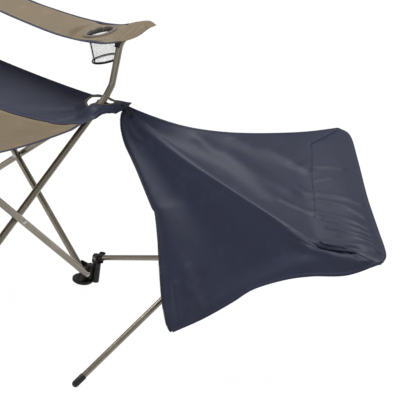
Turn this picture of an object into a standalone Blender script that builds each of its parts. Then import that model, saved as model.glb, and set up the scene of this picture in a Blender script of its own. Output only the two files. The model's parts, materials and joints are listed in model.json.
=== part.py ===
# Folding camping chair with a swing-out footrest: crossed tube frame, fabric seat, back and arms.
import bpy
import bmesh
import math
from mathutils import Matrix, Vector

# driving dimensions (metres)
corner_spacing = 0.537        # between corner centres, front to back and side to side
leg_diameter = 0.016
pole_diameter = 0.013
tube_wall = 0.001
fit_gap = 0.0003
pivot_inset = 0.0285          # from the corner centre to a leg's pivot
plane_offset = 0.0095         # a leg's axis either side of its corner plane
foot_pivot_height = 0.0353
seat_pivot_height = 0.4597
leg_overshoot = 0.0065
fabric_thickness = 0.0012
binding_thickness = 0.0024
post_top_height = 0.926
plate_half_thickness = 0.0011
core_radius = 0.0095

# rivets
rivet_radius = 0.0026
rivet_head_radius = 0.0046
rivet_head_height = 0.0018
spacer_radius = 0.0062

# feet and hubs
pad_radius = 0.026
pad_height = 0.009
pad_edge = 0.002
pad_shift = 0.0115
foot_core_top = 0.046
plate_low = 0.0075
plate_rise = 0.0105
plate_reach = 0.0095
hub_low = seat_pivot_height - 0.0142
hub_top = seat_pivot_height + 0.0075
front_core_top = seat_pivot_height - 0.0002
sleeve_outer = 0.0112
sleeve_height = 0.030
nose_length = 0.036
nose_half_width = 0.0055
nose_low = seat_pivot_height - 0.0062
nose_top = seat_pivot_height + 0.0068

# arm posts and back posts
recline_angle = 8.0
post_low = seat_pivot_height - 0.0222
bend_radius = 0.028
cap_wall = 0.0011
cap_skirt = 0.012
cap_dome = 0.004

# footrest poles
clip_height = 0.0700            # of a clip's rivet, and its place out from the corner
clip_side = 0.0045
clip_reach = 0.0155
clip_radius = 0.0090
clip_pin_radius = 0.0030
clip_pin_top = 0.0515
clip_base_top = 0.0560
clip_base_low = 0.0463
clip_hole_top = 0.0520
cheek_inner = 0.0080
cheek_thickness = 0.0024
cap_sleeve_length = 0.024
cap_radius = 0.0077
pole_rivet_radius = 0.0020
pole_rivet_head = 0.0036
pole_tilt_clear = 0.0004
surface_step = 0.0015          # share of a surface between the points that give its normal

# cup holders
ring_outer = 0.0420
ring_inner = 0.0305
ring_height = 0.0016
ring_neck = 0.0012
cup_depth = 0.066
cup_wall = 0.0014
cup_bottom_radius = 0.0335
hoop_radius = 0.0018

half = corner_spacing / 2
leg_radius = leg_diameter / 2
pole_radius = pole_diameter / 2
pivot = half - pivot_inset
cross_height = (foot_pivot_height + seat_pivot_height) / 2
rise = seat_pivot_height - foot_pivot_height
lean = math.atan2(2 * pivot, rise)

# tables below are shares of corner_spacing unless their name says otherwise; seat_height_share is the seat
# pivots' height that they are drawn for
seat_height_share = 0.4597 / 0.537
seat_edge_share = 0.575
seat_inset_share = 0.060
seat_floor_share = 0.7350
seat_rise_shares = (0.1310, 0.0574)           # of the side edges over the middle, and of the front and back edges
seat_side_dip_shares = (0.0694, 0.0305)       # of a side edge towards its corners
seat_front_dip_shares = (0.0921, 0.1310)      # of the front edge towards its corners
seat_corner_share = 0.0389
seat_centre_share = 0.52
hub_cover = 0.0055             # of the cloth's middle over a hub's top, and how far round the hub it holds
hub_cover_reach = 0.0140
hub_cover_blend = 0.0260

arm_inner_shares = [
    (0.5549, -0.6294, 1.2402), (0.5214, -0.5866, 1.1864), (0.4804, -0.5214, 1.1500),
    (0.4525, -0.4190, 1.1223), (0.4432, -0.2235, 1.1040), (0.4432, 0.0, 1.1076),
    (0.4507, 0.2235, 1.1173), (0.4726, 0.5200, 1.1285),
]
arm_outer_shares = [
    (0.5922, -0.6369, 1.2402), (0.6369, -0.5587, 1.2365), (0.6555, -0.4749, 1.2067),
    (0.6648, -0.3724, 1.1655), (0.6555, -0.1862, 1.1440), (0.6480, 0.0559, 1.1400),
    (0.6294, 0.2607, 1.1490), (0.5300, 0.5200, 1.1397),
]
post_bend_shares = [
    (0.4944, 0.8958), (0.5270, 0.9441), (0.5415, 1.0559), (0.5500, 1.1400), (0.5930, 1.1400),
]
arm_post_drops = {1: (0.0075, -0.0118), -1: (0.0012, -0.0181)}   # metres: last two bends below the arm's height
cup_centre_shares = (0.5587, -0.3594, 1.1400)
cup_axis_share = (-0.1850, 0.2710, 0.9450)
rest_edge_ab_shares = [
    (0.5500, -0.5500, 0.8672), (0.5419, -0.6723, 0.8678), (0.5642, -0.8026, 0.8641),
    (0.6127, -0.9069, 0.8622), (0.6983, -1.0149, 0.8641), (0.8194, -1.1192, 0.8696),
    (0.9646, -1.2216, 0.8790), (1.1173, -1.2942, 0.8883),
]
rest_edge_bc_shares = [
    (1.1173, -1.2942, 0.8883), (1.0909, -1.3677, 0.8848), (0.9071, -1.5116, 0.8688),
    (0.6341, -1.7151, 0.8445), (0.4416, -1.8712, 0.8255), (0.2969, -1.9853, 0.8152),
    (0.2216, -2.0130, 0.8119),
]
rest_edge_dc_shares = [
    (0.0857, -1.2700, 0.2439), (0.1170, -1.3825, 0.3458), (0.1495, -1.4804, 0.4498),
    (0.1715, -1.5499, 0.5292), (0.1898, -1.6624, 0.6105), (0.1950, -1.7673, 0.6676),
    (0.1958, -1.9025, 0.7269), (0.2216, -2.0130, 0.8119),
]
rest_edge_ad_shares = [
    (0.5500, -0.5500, 0.8672), (0.4581, -0.6648, 0.7393), (0.4022, -0.7747, 0.6704),
    (0.3352, -0.9143, 0.5885), (0.3203, -0.9497, 0.5717), (0.2663, -1.0205, 0.4953),
    (0.1974, -1.1024, 0.3948), (0.1453, -1.1676, 0.3184), (0.1024, -1.2309, 0.2607),
    (0.0857, -1.2700, 0.2439),
]
pole_p_tip_shares = (0.2434, -1.8663, 0.7624)
pole_q_low_shares = (-0.2061, -1.0328, 0.0378)
pole_q_tip_shares = (1.0197, -1.2499, 0.8361)


def risen(height):
    """A table's height moved with the seat's pivots; heights under the footrest clips stay."""
    base, drawn = clip_height, seat_height_share * corner_spacing
    return height if height < base else base + (height - base) * (seat_pivot_height - base) / (drawn - base)


def point(row):
    *flat, height = [c * corner_spacing for c in row]
    return Vector((*flat, risen(height)))


def scaled(table):
    return [point(row) for row in table]


for old in list(bpy.data.objects):
    bpy.data.objects.remove(old, do_unlink=True)


def finish(name, colour, roughness, metallic):
    material = bpy.data.materials.new(name)
    material.use_nodes = True
    shader = material.node_tree.nodes["Principled BSDF"]
    shader.inputs["Base Color"].default_value = (*colour, 1.0)
    shader.inputs["Roughness"].default_value = roughness
    shader.inputs["Metallic"].default_value = metallic
    material.diffuse_color = (*colour, 1.0)
    return material


looks = {
    "steel": ((0.235, 0.205, 0.170), 0.34, 0.85),
    "rivet": ((0.70, 0.69, 0.66), 0.30, 0.9),
    "plastic": ((0.016, 0.014, 0.013), 0.45, 0.0),
    "navy": ((0.050, 0.058, 0.098), 0.85, 0.0),
    "tan": ((0.215, 0.180, 0.120), 0.88, 0.0),
    "tape": ((0.020, 0.020, 0.024), 0.7, 0.0),
    "mesh": ((0.72, 0.70, 0.69), 0.8, 0.0),
    "ring": ((0.145, 0.125, 0.105), 0.5, 0.0),
}


def place(name, bm, look, origin=None, smooth=True):
    origin = Vector(origin) if origin is not None else Vector((0, 0, 0))
    bmesh.ops.recalc_face_normals(bm, faces=bm.faces)
    if bm.calc_volume(signed=True) < 0:
        bmesh.ops.reverse_faces(bm, faces=bm.faces)
    bmesh.ops.translate(bm, verts=bm.verts, vec=-origin)
    mesh = bpy.data.meshes.new(name)
    bm.to_mesh(mesh)
    bm.free()
    for face in mesh.polygons:
        face.use_smooth = smooth
    obj = bpy.data.objects.new(name, mesh)
    obj.location = origin
    bpy.context.scene.collection.objects.link(obj)
    if look:
        mesh.materials.append(finish(name + "_finish", *looks[look]))
    return obj


def basis(direction):
    d = Vector(direction).normalized()
    helper = Vector((0, 0, 1)) if abs(d.z) < 0.9 else Vector((1, 0, 0))
    side = d.cross(helper).normalized()
    return side, d.cross(side).normalized(), d


def lathe(bm, profile, base, direction, segments=16):
    """Closed turned body: profile is (radius, height) pairs from base along direction."""
    side, other, d = basis(direction)
    base = Vector(base)
    rings = []
    for radius, height in profile:
        if radius <= 0:
            rings.append([bm.verts.new(base + d * height)])
            continue
        ring = []
        for i in range(segments):
            angle = 2 * math.pi * i / segments
            ring.append(bm.verts.new(
                base + d * height + side * (radius * math.cos(angle)) + other * (radius * math.sin(angle))
            ))
        rings.append(ring)
    for low, high in zip(rings, rings[1:]):
        for i in range(segments):
            j = (i + 1) % segments
            if len(low) == 1 and len(high) == 1:
                continue
            if len(low) == 1:
                bm.faces.new((low[0], high[j], high[i]))
            elif len(high) == 1:
                bm.faces.new((low[i], low[j], high[0]))
            else:
                bm.faces.new((low[i], low[j], high[j], high[i]))
    return rings


def turned_ring(bm, profile, base, direction, segments=20):
    """Closed ring: the profile loop is turned round the axis and joins its own start."""
    rings = lathe(bm, profile, base, direction, segments)
    first, last = rings[0], rings[-1]
    for i in range(segments):
        j = (i + 1) % segments
        bm.faces.new((last[i], last[j], first[j], first[i]))


def box(bm, low, high, turn=None):
    low, high = Vector(low), Vector(high)
    corners = []
    for z in (low.z, high.z):
        for x, y in ((low.x, low.y), (high.x, low.y), (high.x, high.y), (low.x, high.y)):
            corner = Vector((x, y, z))
            corners.append(bm.verts.new(turn @ corner if turn else corner))
    for quad in ((0, 3, 2, 1), (4, 5, 6, 7), (0, 1, 5, 4), (1, 2, 6, 5), (2, 3, 7, 6), (3, 0, 4, 7)):
        bm.faces.new([corners[i] for i in quad])


def prism(bm, outline, low, high, frame):
    """Flat outline (u, w pairs) pushed from low to high along the frame's third direction."""
    bottom = [bm.verts.new(frame @ Vector((u, w, low))) for u, w in outline]
    top = [bm.verts.new(frame @ Vector((u, w, high))) for u, w in outline]
    bm.faces.new(bottom[::-1])
    bm.faces.new(top)
    count = len(outline)
    for i in range(count):
        j = (i + 1) % count
        bm.faces.new((bottom[i], bottom[j], top[j], top[i]))


def rounded(points, radius, steps=3):
    """Path through points with its inner corners rounded."""
    points = [Vector(p) for p in points]
    path = [points[0]]
    for before, corner, after in zip(points, points[1:], points[2:]):
        a, b = (before - corner), (after - corner)
        angle = a.angle(b)
        cut = min(radius / math.tan(angle / 2), 0.49 * a.length, 0.49 * b.length)
        start, end = corner + a.normalized() * cut, corner + b.normalized() * cut
        for i in range(steps + 1):
            t = i / steps
            path.append(start.lerp(corner, t).lerp(corner.lerp(end, t), t))
    path.append(points[-1])
    return path


def sweep(bm, path, radius, bore, segments=16):
    """Round tube along a path, open ended when bore is set."""
    path = [Vector(p) for p in path]
    tangents = []
    for i in range(len(path)):
        a = path[max(i - 1, 0)]
        b = path[min(i + 1, len(path) - 1)]
        tangents.append((b - a).normalized())
    side, other, _ = basis(tangents[0])
    outer, inner = [], []
    for i, spot in enumerate(path):
        if i:
            turn = tangents[i - 1].rotation_difference(tangents[i])
            side, other = turn @ side, turn @ other
        ring_out, ring_in = [], []
        for k in range(segments):
            angle = 2 * math.pi * k / segments
            spoke = side * math.cos(angle) + other * math.sin(angle)
            ring_out.append(bm.verts.new(spot + spoke * radius))
            if bore:
                ring_in.append(bm.verts.new(spot + spoke * bore))
        outer.append(ring_out)
        inner.append(ring_in)
    for i in range(len(path) - 1):
        for k in range(segments):
            j = (k + 1) % segments
            bm.faces.new((outer[i][k], outer[i][j], outer[i + 1][j], outer[i + 1][k]))
            if bore:
                bm.faces.new((inner[i][k], inner[i + 1][k], inner[i + 1][j], inner[i][j]))
    for i in (0, -1):
        if bore:
            for k in range(segments):
                j = (k + 1) % segments
                bm.faces.new((outer[i][k], inner[i][k], inner[i][j], outer[i][j]))
        else:
            bm.faces.new(outer[i])


def boolean(obj, cutters, operation="DIFFERENCE"):
    for cutter in cutters:
        cutter.hide_render = True
        cutter.display_type = "WIRE"
        step = obj.modifiers.new("cut", "BOOLEAN")
        step.operation = operation
        step.solver = "EXACT"
        step.object = cutter
    bpy.context.view_layer.update()
    graph = bpy.context.evaluated_depsgraph_get()
    mesh = bpy.data.meshes.new_from_object(obj.evaluated_get(graph))
    materials = list(obj.data.materials)
    obj.modifiers.clear()
    obj.data = mesh
    obj.data.materials.clear()
    for material in materials:
        obj.data.materials.append(material)
    for face in obj.data.polygons:
        face.material_index = 0
    for cutter in cutters:
        bpy.data.objects.remove(cutter, do_unlink=True)
    return obj


def flat_faces(obj, limit=35.0):
    """Smooth round faces, sharp edges where flats meet."""
    mesh = obj.data
    bm = bmesh.new()
    bm.from_mesh(mesh)
    bmesh.ops.remove_doubles(bm, verts=bm.verts, dist=fit_gap / 10)
    bmesh.ops.dissolve_degenerate(bm, edges=bm.edges, dist=fit_gap / 10)
    for edge in bm.edges:
        if len(edge.link_faces) == 2:
            edge.smooth = edge.calc_face_angle(0) < math.radians(limit)
    bm.to_mesh(mesh)
    bm.free()
    for face in mesh.polygons:
        face.use_smooth = True


def cutter(build):
    bm = bmesh.new()
    build(bm)
    return place("cutter", bm, None)


def rod_cutter(centre, direction, radius, length, segments=14):
    start = Vector(centre) - Vector(direction).normalized() * (length / 2)
    return cutter(lambda bm: lathe(bm, [(0, 0), (radius, 0), (radius, length), (0, length)],
                                   start, direction, segments))


quarter = [Matrix.Rotation(math.radians(90 * i), 4, "Z") for i in range(4)]
# quarter 0 = front left, 1 = rear left, 2 = rear right, 3 = front right
corner_names = ("front_left", "rear_left", "rear_right", "front_right")


def post_bends(sense):
    """Bends of an arm's post, as (across, height); the last two hang under the arm."""
    drops = (0.0, 0.0, 0.0, *arm_post_drops[sense])
    return [Vector((p.x, p.y - drop)) for p, drop in zip(scaled(post_bend_shares), drops)]


def leg(name, turn, outer, upper=False):
    """One crossed leg of the front pair, turned to its side. outer legs lean to -x, inner to +x."""
    y = -half - plane_offset if outer else -half + plane_offset
    sense = -1 if outer else 1
    low = Vector((-sense * pivot, y, foot_pivot_height))
    high = Vector((sense * pivot, y, seat_pivot_height))
    along = (high - low).normalized()
    if upper:
        bends = [Vector((sense * p.x, y, p.y)) for p in post_bends(sense)]
        path = rounded([low - along * leg_overshoot] + bends, bend_radius)
    else:
        path = [low - along * leg_overshoot, high + along * leg_overshoot]
    bm = bmesh.new()
    sweep(bm, path, leg_radius, leg_radius - tube_wall)
    obj = place(name, bm, "steel")
    holes = []
    for spot in (low, (low + high) / 2, high):
        holes.append(rod_cutter(spot, (0, 1, 0), rivet_radius + fit_gap, leg_diameter * 2, 10))
    boolean(obj, holes)
    flat_faces(obj)
    obj.data.transform(turn)
    centre = turn @ (low if outer else (low + high) / 2)
    obj.data.transform(Matrix.Translation(-centre))
    obj.location = centre
    return obj


leg("leg_front_outer", quarter[0], True, True)
leg("leg_front_inner", quarter[0], False, True)
leg("leg_left_outer", quarter[1], True)
leg("leg_left_inner", quarter[1], False)
leg("leg_rear_outer", quarter[2], True)
leg("leg_rear_inner", quarter[2], False)
leg("leg_right_outer", quarter[3], True)
leg("leg_right_inner", quarter[3], False)


def cross_rivet(name, turn):
    """Rivet through both legs of a side with a spacer collar between them."""
    reach = plane_offset + leg_radius + fit_gap
    collar = plane_offset - leg_radius - fit_gap
    profile = [
        (0, -reach - rivet_head_height), (rivet_head_radius * 0.75, -reach - rivet_head_height),
        (rivet_head_radius, -reach - rivet_head_height * 0.4), (rivet_head_radius, -reach),
        (rivet_radius, -reach), (rivet_radius, -collar), (spacer_radius, -collar),
        (spacer_radius, collar), (rivet_radius, collar), (rivet_radius, reach),
        (rivet_head_radius, reach), (rivet_head_radius, reach + rivet_head_height * 0.4),
        (rivet_head_radius * 0.75, reach + rivet_head_height), (0, reach + rivet_head_height),
    ]
    bm = bmesh.new()
    lathe(bm, profile, (0, -half, cross_height), (0, 1, 0), 12)
    obj = place(name, bm, "rivet")
    flat_faces(obj)
    centre = turn @ Vector((0, -half, cross_height))
    obj.data.transform(turn)
    obj.data.transform(Matrix.Translation(-centre))
    obj.location = centre
    return obj


for side_name, turn in zip(("front", "left", "rear", "right"), quarter):
    cross_rivet("rivet_cross_" + side_name, turn)


def pivot_rivet(bm, spot, outward):
    """Rivet through a leg, headed over inside its plate; outward is the leg's free side."""
    far = leg_radius + fit_gap
    near = plane_offset + plate_half_thickness
    profile = [
        (0, -near - rivet_head_height), (rivet_head_radius * 0.75, -near - rivet_head_height),
        (rivet_head_radius, -near - rivet_head_height * 0.4), (rivet_head_radius, -near + fit_gap),
        (rivet_radius, -near + fit_gap), (rivet_radius, far),
        (rivet_head_radius, far), (rivet_head_radius, far + rivet_head_height * 0.4),
        (rivet_head_radius * 0.75, far + rivet_head_height), (0, far + rivet_head_height),
    ]
    lathe(bm, profile, spot, outward, 10)


def corner_pivots(height, low_end):
    """Front left corner: (pivot spot, outward) of its front and side legs."""
    front = -plane_offset if low_end else plane_offset
    side = -plane_offset if low_end else plane_offset
    return [
        (Vector((half - pivot_inset, -half + front, height)), Vector((0, math.copysign(1, front), 0))),
        (Vector((half + side, -half + pivot_inset, height)), Vector((math.copysign(1, side), 0, 0))),
    ]


def plate_outline(low, top):
    """Upright plate: reaches from the corner past the pivot with a round end."""
    start = -core_radius * 0.3
    reach = pivot_inset
    outline = [(start, low), (reach + plate_reach * 0.5, low)]
    middle = (low + top) / 2
    tall = (top - low) / 2
    for i in range(5):
        angle = math.radians(-90 + 45 * i)
        outline.append((reach + plate_reach * 0.25 + plate_reach * 0.75 * math.cos(angle),
                        middle + tall * math.sin(angle)))
    outline.append((start, top))
    return outline[:1] + outline[2:]


def plates(low, top):
    outline = plate_outline(low, top)
    along_x = Matrix(((-1, 0, 0, half), (0, 0, 1, -half), (0, 1, 0, 0), (0, 0, 0, 1)))
    along_y = Matrix(((0, 0, 1, half), (1, 0, 0, -half), (0, 1, 0, 0), (0, 0, 0, 1)))
    made = []
    for frame in (along_x, along_y):
        made.append(cutter(lambda bm, frame=frame: prism(
            bm, outline, -plate_half_thickness, plate_half_thickness, frame)))
    return made


clip_spot = Vector((half + clip_side, -half - clip_reach, clip_height))


def boss(spot):
    """Turning seat for a pole clip: collar with a pin."""
    profile = [(0, pad_height / 2), (clip_radius, pad_height / 2), (clip_radius, clip_base_low - fit_gap),
               (clip_pin_radius, clip_base_low - fit_gap), (clip_pin_radius, clip_pin_top), (0, clip_pin_top)]
    return cutter(lambda bm: lathe(bm, profile, (spot.x, spot.y, 0), (0, 0, 1), 16))


def foot(index):
    name = corner_names[index]
    spot = Vector((half - pad_shift, -half + pad_shift, 0))
    bm = bmesh.new()
    lathe(bm, [(0, 0), (pad_radius - pad_edge, 0), (pad_radius, pad_edge),
               (pad_radius, pad_height - pad_edge), (pad_radius - pad_edge, pad_height), (0, pad_height)],
          spot, (0, 0, 1), 24)
    obj = place("foot_" + name, bm, "plastic")
    parts = plates(plate_low, foot_pivot_height + plate_rise)
    core = [(0, pad_height / 2), (core_radius, pad_height / 2), (core_radius, foot_core_top), (0, foot_core_top)]
    parts.append(cutter(lambda b: lathe(b, core, (half, -half, 0), (0, 0, 1), 16)))
    if index in (0, 3):
        place_at = clip_spot.copy()
        if index == 3:
            place_at = quarter[3].inverted() @ Vector((-clip_spot.x, clip_spot.y, clip_spot.z))
        parts.append(boss(place_at))
    for spot, outward in corner_pivots(foot_pivot_height, True):
        parts.append(cutter(lambda b, spot=spot, outward=outward: pivot_rivet(b, spot, outward)))
    boolean(obj, parts, "UNION")
    flat_faces(obj)
    obj.data.transform(quarter[index])
    centre = quarter[index] @ Vector((half, -half, foot_pivot_height))
    obj.data.transform(Matrix.Translation(-centre))
    obj.location = centre
    return obj


post_lean = Vector((0, math.sin(math.radians(recline_angle)), math.cos(math.radians(recline_angle))))


def hub(index):
    name = corner_names[index]
    rear = index in (1, 2)
    outer = sleeve_outer if rear else core_radius
    low = hub_low - (sleeve_height - (hub_top - hub_low)) if rear else hub_low
    bm = bmesh.new()
    top = hub_top if rear else front_core_top
    lathe(bm, [(0, low), (outer, low), (outer, top), (0, top)], (half, -half, 0), (0, 0, 1), 20)
    obj = place("hub_" + name, bm, "plastic")
    parts = plates(hub_low, hub_top)
    if not rear:
        outline = [
            (core_radius * 0.5, -nose_half_width), (nose_length - nose_half_width, -nose_half_width),
            (nose_length, -nose_half_width * 0.5), (nose_length, nose_half_width * 0.5),
            (nose_length - nose_half_width, nose_half_width), (core_radius * 0.5, nose_half_width),
        ]
        frame = Matrix.Translation((half, -half, 0)) @ Matrix.Rotation(math.radians(-45), 4, "Z")
        parts.append(cutter(lambda b: prism(b, outline, nose_low, nose_top, frame)))
    for spot, outward in corner_pivots(seat_pivot_height, False):
        parts.append(cutter(lambda b, spot=spot, outward=outward: pivot_rivet(b, spot, outward)))
    if not rear:
        frame = Matrix.Translation((half, -half, 0)) @ Matrix.Rotation(math.radians(-45), 4, "Z")
        for sense in (-1, 1):
            stud = [(0, -fit_gap), (rivet_head_radius * 0.8, -fit_gap),
                    (rivet_head_radius * 0.55, rivet_head_height), (0, rivet_head_height)]
            start = frame @ Vector((nose_length * 0.72, sense * nose_half_width, (nose_low + nose_top) / 2))
            aim = frame.to_3x3() @ Vector((0, sense, 0))
            parts.append(cutter(lambda b, stud=stud, start=start, aim=aim: lathe(b, stud, start, aim, 8)))
    boolean(obj, parts, "UNION")
    if rear:
        unturned = quarter[index].to_3x3().inverted() @ post_lean
        boolean(obj, [rod_cutter((half, -half, seat_pivot_height), unturned, leg_radius + fit_gap,
                                 sleeve_height * 3, 20)])
    flat_faces(obj)
    obj.data.transform(quarter[index])
    centre = quarter[index] @ Vector((half, -half, seat_pivot_height))
    obj.data.transform(Matrix.Translation(-centre))
    obj.location = centre
    return obj


for index in range(4):
    foot(index)
    hub(index)


def end_cap(bm, end, direction, radius, skirt):
    """Plastic cap over a tube end: closed dome, open skirt."""
    d = Vector(direction).normalized()
    inner, outer = radius + fit_gap, radius + fit_gap + cap_wall
    turned_profile = [
        (0, cap_dome), (outer * 0.55, cap_dome * 0.85), (outer, cap_dome * 0.25), (outer, -skirt),
        (inner, -skirt), (inner, fit_gap), (0, fit_gap),
    ]
    lathe(bm, turned_profile, end, d, 16)


def arm_post_end(sense):
    table = post_bends(sense)
    y = -half + plane_offset if sense > 0 else -half - plane_offset
    a = Vector((sense * table[-2].x, y, table[-2].y))
    b = Vector((sense * table[-1].x, y, table[-1].y))
    return b, (b - a).normalized()


for sense, side_name in ((1, "left"), (-1, "right")):
    bm = bmesh.new()
    end, aim = arm_post_end(sense)
    end_cap(bm, end, aim, leg_radius, cap_skirt)
    flat_faces(place("cap_arm_" + side_name, bm, "plastic", end))


def post_point(sense, height):
    return Vector((sense * half, half, seat_pivot_height)) + post_lean * (
        (height - seat_pivot_height) / post_lean.z)


for sense, side_name in ((1, "left"), (-1, "right")):
    bm = bmesh.new()
    low, high = post_point(sense, post_low), post_point(sense, post_top_height)
    sweep(bm, [low, high], leg_radius, leg_radius - tube_wall)
    flat_faces(place("post_back_" + side_name, bm, "steel", post_point(sense, seat_pivot_height)))
    bm = bmesh.new()
    end_cap(bm, high, post_lean, leg_radius, cap_skirt)
    flat_faces(place("cap_back_" + side_name, bm, "plastic", high))


# pole clips, poles and their fittings
pole_p_tip, pole_q_low, pole_q_tip = point(pole_p_tip_shares), point(pole_q_low_shares), point(pole_q_tip_shares)
cheek_shares = [
    (-1.0, -1.55), (0.95, -1.55), (1.15, -1.0), (0.75, -0.6), (0.55, 0.25), (0.85, 0.95),
    (1.65, 1.55), (1.55, 1.95), (0.55, 1.80), (-0.45, 1.35), (-1.0, 0.5),
]


def clip(name, spot, outward):
    """Pole clip: base turning on the foot's pin, two cheeks with a horn."""
    u = Vector((outward.x, outward.y, 0)).normalized()
    t = Vector((0, 0, 1)).cross(u)
    frame = Matrix(((u.x, 0, t.x, spot.x), (u.y, 0, t.y, spot.y), (0, 1, 0, spot.z), (0, 0, 0, 1)))
    bm = bmesh.new()
    lathe(bm, [(0, clip_base_low), (clip_radius, clip_base_low), (clip_radius, clip_base_top + cap_wall),
               (0, clip_base_top + cap_wall)], (spot.x, spot.y, 0), (0, 0, 1), 16)
    obj = place(name, bm, "plastic")
    outline = [(a * clip_radius, b * clip_radius) for a, b in cheek_shares]
    parts = []
    for sense in (-1, 1):
        lo, hi = sorted((sense * cheek_inner, sense * (cheek_inner + cheek_thickness)))
        parts.append(cutter(lambda b, lo=lo, hi=hi: prism(b, outline, lo, hi, frame)))
    width = cheek_inner + cheek_thickness / 2
    bridge_low, bridge_high = clip_base_top - cap_wall - spot.z, clip_base_top + cap_wall * 2 - spot.z
    bridge = [(-clip_radius * 0.85, bridge_low), (clip_radius * 0.7, bridge_low),
              (clip_radius * 0.7, bridge_high), (-clip_radius * 0.85, bridge_high)]
    parts.append(cutter(lambda b: prism(b, bridge, -width, width, frame)))
    boolean(obj, parts, "UNION")
    boolean(obj, [rod_cutter((spot.x, spot.y, clip_base_low), (0, 0, 1), clip_pin_radius + fit_gap,
                             (clip_hole_top - clip_base_low) * 2, 16)])
    reach = cheek_inner + cheek_thickness - fit_gap
    profile = [(0, -reach - rivet_head_height), (pole_rivet_head, -reach - rivet_head_height),
               (pole_rivet_head, -reach), (pole_rivet_radius, -reach), (pole_rivet_radius, reach),
               (pole_rivet_head, reach), (pole_rivet_head, reach + rivet_head_height),
               (0, reach + rivet_head_height)]
    boolean(obj, [cutter(lambda b: lathe(b, profile, spot, t, 12))], "UNION")
    flat_faces(obj)
    obj.data.transform(Matrix.Translation(-spot))
    obj.location = spot
    return obj, t


clip_left, pin_axis = clip("clip_left", clip_spot, pole_p_tip - clip_spot)
mirror_spot = Vector((-clip_spot.x, clip_spot.y, clip_spot.z))
clip_right, _ = clip("clip_right", mirror_spot, Vector((-mirror_spot.x, -corner_spacing, 0)))
p_along = (pole_p_tip - clip_spot).normalized()
q_along = (pole_q_tip - pole_q_low).normalized()
cross_axis = p_along.cross(q_along).normalized()
if cross_axis.z < 0:
    cross_axis = -cross_axis
between = pole_q_low - clip_spot
side = q_along.cross(cross_axis)
cross_p = clip_spot + p_along * (between.dot(side) / p_along.dot(side))
q_near = pole_q_low + q_along * q_along.dot(cross_p - pole_q_low)
push = cross_axis * ((cross_p - q_near).dot(cross_axis) - (pole_diameter + pole_tilt_clear))
pole_q_low, pole_q_tip, q_near = pole_q_low + push, pole_q_tip + push, q_near + push
rivet_centre = (cross_p + q_near) / 2


def pole(name, low, tip, at, origin, low_clear):
    along = (tip - low).normalized()
    bm = bmesh.new()
    sweep(bm, [low + along * low_clear, tip], pole_radius, pole_radius - tube_wall, 14)
    obj = place(name, bm, "steel")
    boolean(obj, [rod_cutter(at, cross_axis, pole_rivet_radius + fit_gap, leg_diameter * 2, 10)])
    flat_faces(obj)
    obj.data.transform(Matrix.Translation(-origin))
    obj.location = origin
    return obj


low_clear = cap_radius * 1.0
pole("pole_left", clip_spot, pole_p_tip, cross_p, clip_spot, low_clear)
pole("pole_right", pole_q_low, pole_q_tip, q_near, rivet_centre, low_clear)
bm = bmesh.new()
far = (cross_p - q_near).length / 2 + pole_radius + fit_gap
mid = (cross_p - q_near).length / 2 - pole_radius - fit_gap / 3
lathe(bm, [(0, -far - rivet_head_height), (pole_rivet_head * 0.7, -far - rivet_head_height),
           (pole_rivet_head, -far), (pole_rivet_radius, -far), (pole_rivet_radius, far),
           (pole_rivet_head, far), (pole_rivet_head * 0.7, far + rivet_head_height),
           (0, far + rivet_head_height)], rivet_centre, cross_axis, 12)
flat_faces(place("rivet_poles", bm, "rivet", rivet_centre))


def pole_foot_cap(name, low, along, pin=None):
    """Ball-ended plastic cap over the lower end of a pole."""
    r, inner = cap_radius, pole_radius + fit_gap
    profile = [(0, -r)]
    for i in range(1, 4):
        angle = math.radians(30 * i)
        profile.append((r * math.sin(angle), -r * math.cos(angle)))
    profile += [(r, cap_sleeve_length), (inner, cap_sleeve_length), (inner, low_clear - fit_gap),
                (0, low_clear - fit_gap)]
    bm = bmesh.new()
    lathe(bm, profile, low, along, 14)
    obj = place(name, bm, "plastic")
    if pin is not None:
        boolean(obj, [rod_cutter(low, pin, pole_rivet_radius + fit_gap, leg_diameter * 2, 10)])
    flat_faces(obj)
    obj.data.transform(Matrix.Translation(-low))
    obj.location = low
    return obj


pole_foot_cap("cap_pole_left_low", clip_spot, p_along, pin_axis)
pole_foot_cap("cap_pole_right_low", pole_q_low, q_along)
for tip, along, side_name in ((pole_p_tip, p_along, "left"), (pole_q_tip, q_along, "right")):
    bm = bmesh.new()
    end_cap(bm, tip, along, pole_radius, cap_skirt)
    flat_faces(place("cap_pole_" + side_name + "_tip", bm, "plastic", tip))


# fabric
def smooth_path(points, share):
    """Catmull-Rom point at a share of the way along the points."""
    count = len(points) - 1
    spot = min(max(share, 0.0), 1.0) * count
    i = min(int(spot), count - 1)
    t = spot - i
    p1, p2 = points[i], points[i + 1]
    p0 = points[i - 1] if i else p1 * 2 - p2
    p3 = points[i + 2] if i + 2 <= count else p2 * 2 - p1
    return (p1 * 2 + (p2 - p0) * t + (p0 * 2 - p1 * 5 + p2 * 4 - p3) * t * t
            + (p1 * 3 - p0 - p2 * 3 + p3) * t * t * t) / 2


def even(share):
    return share


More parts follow.
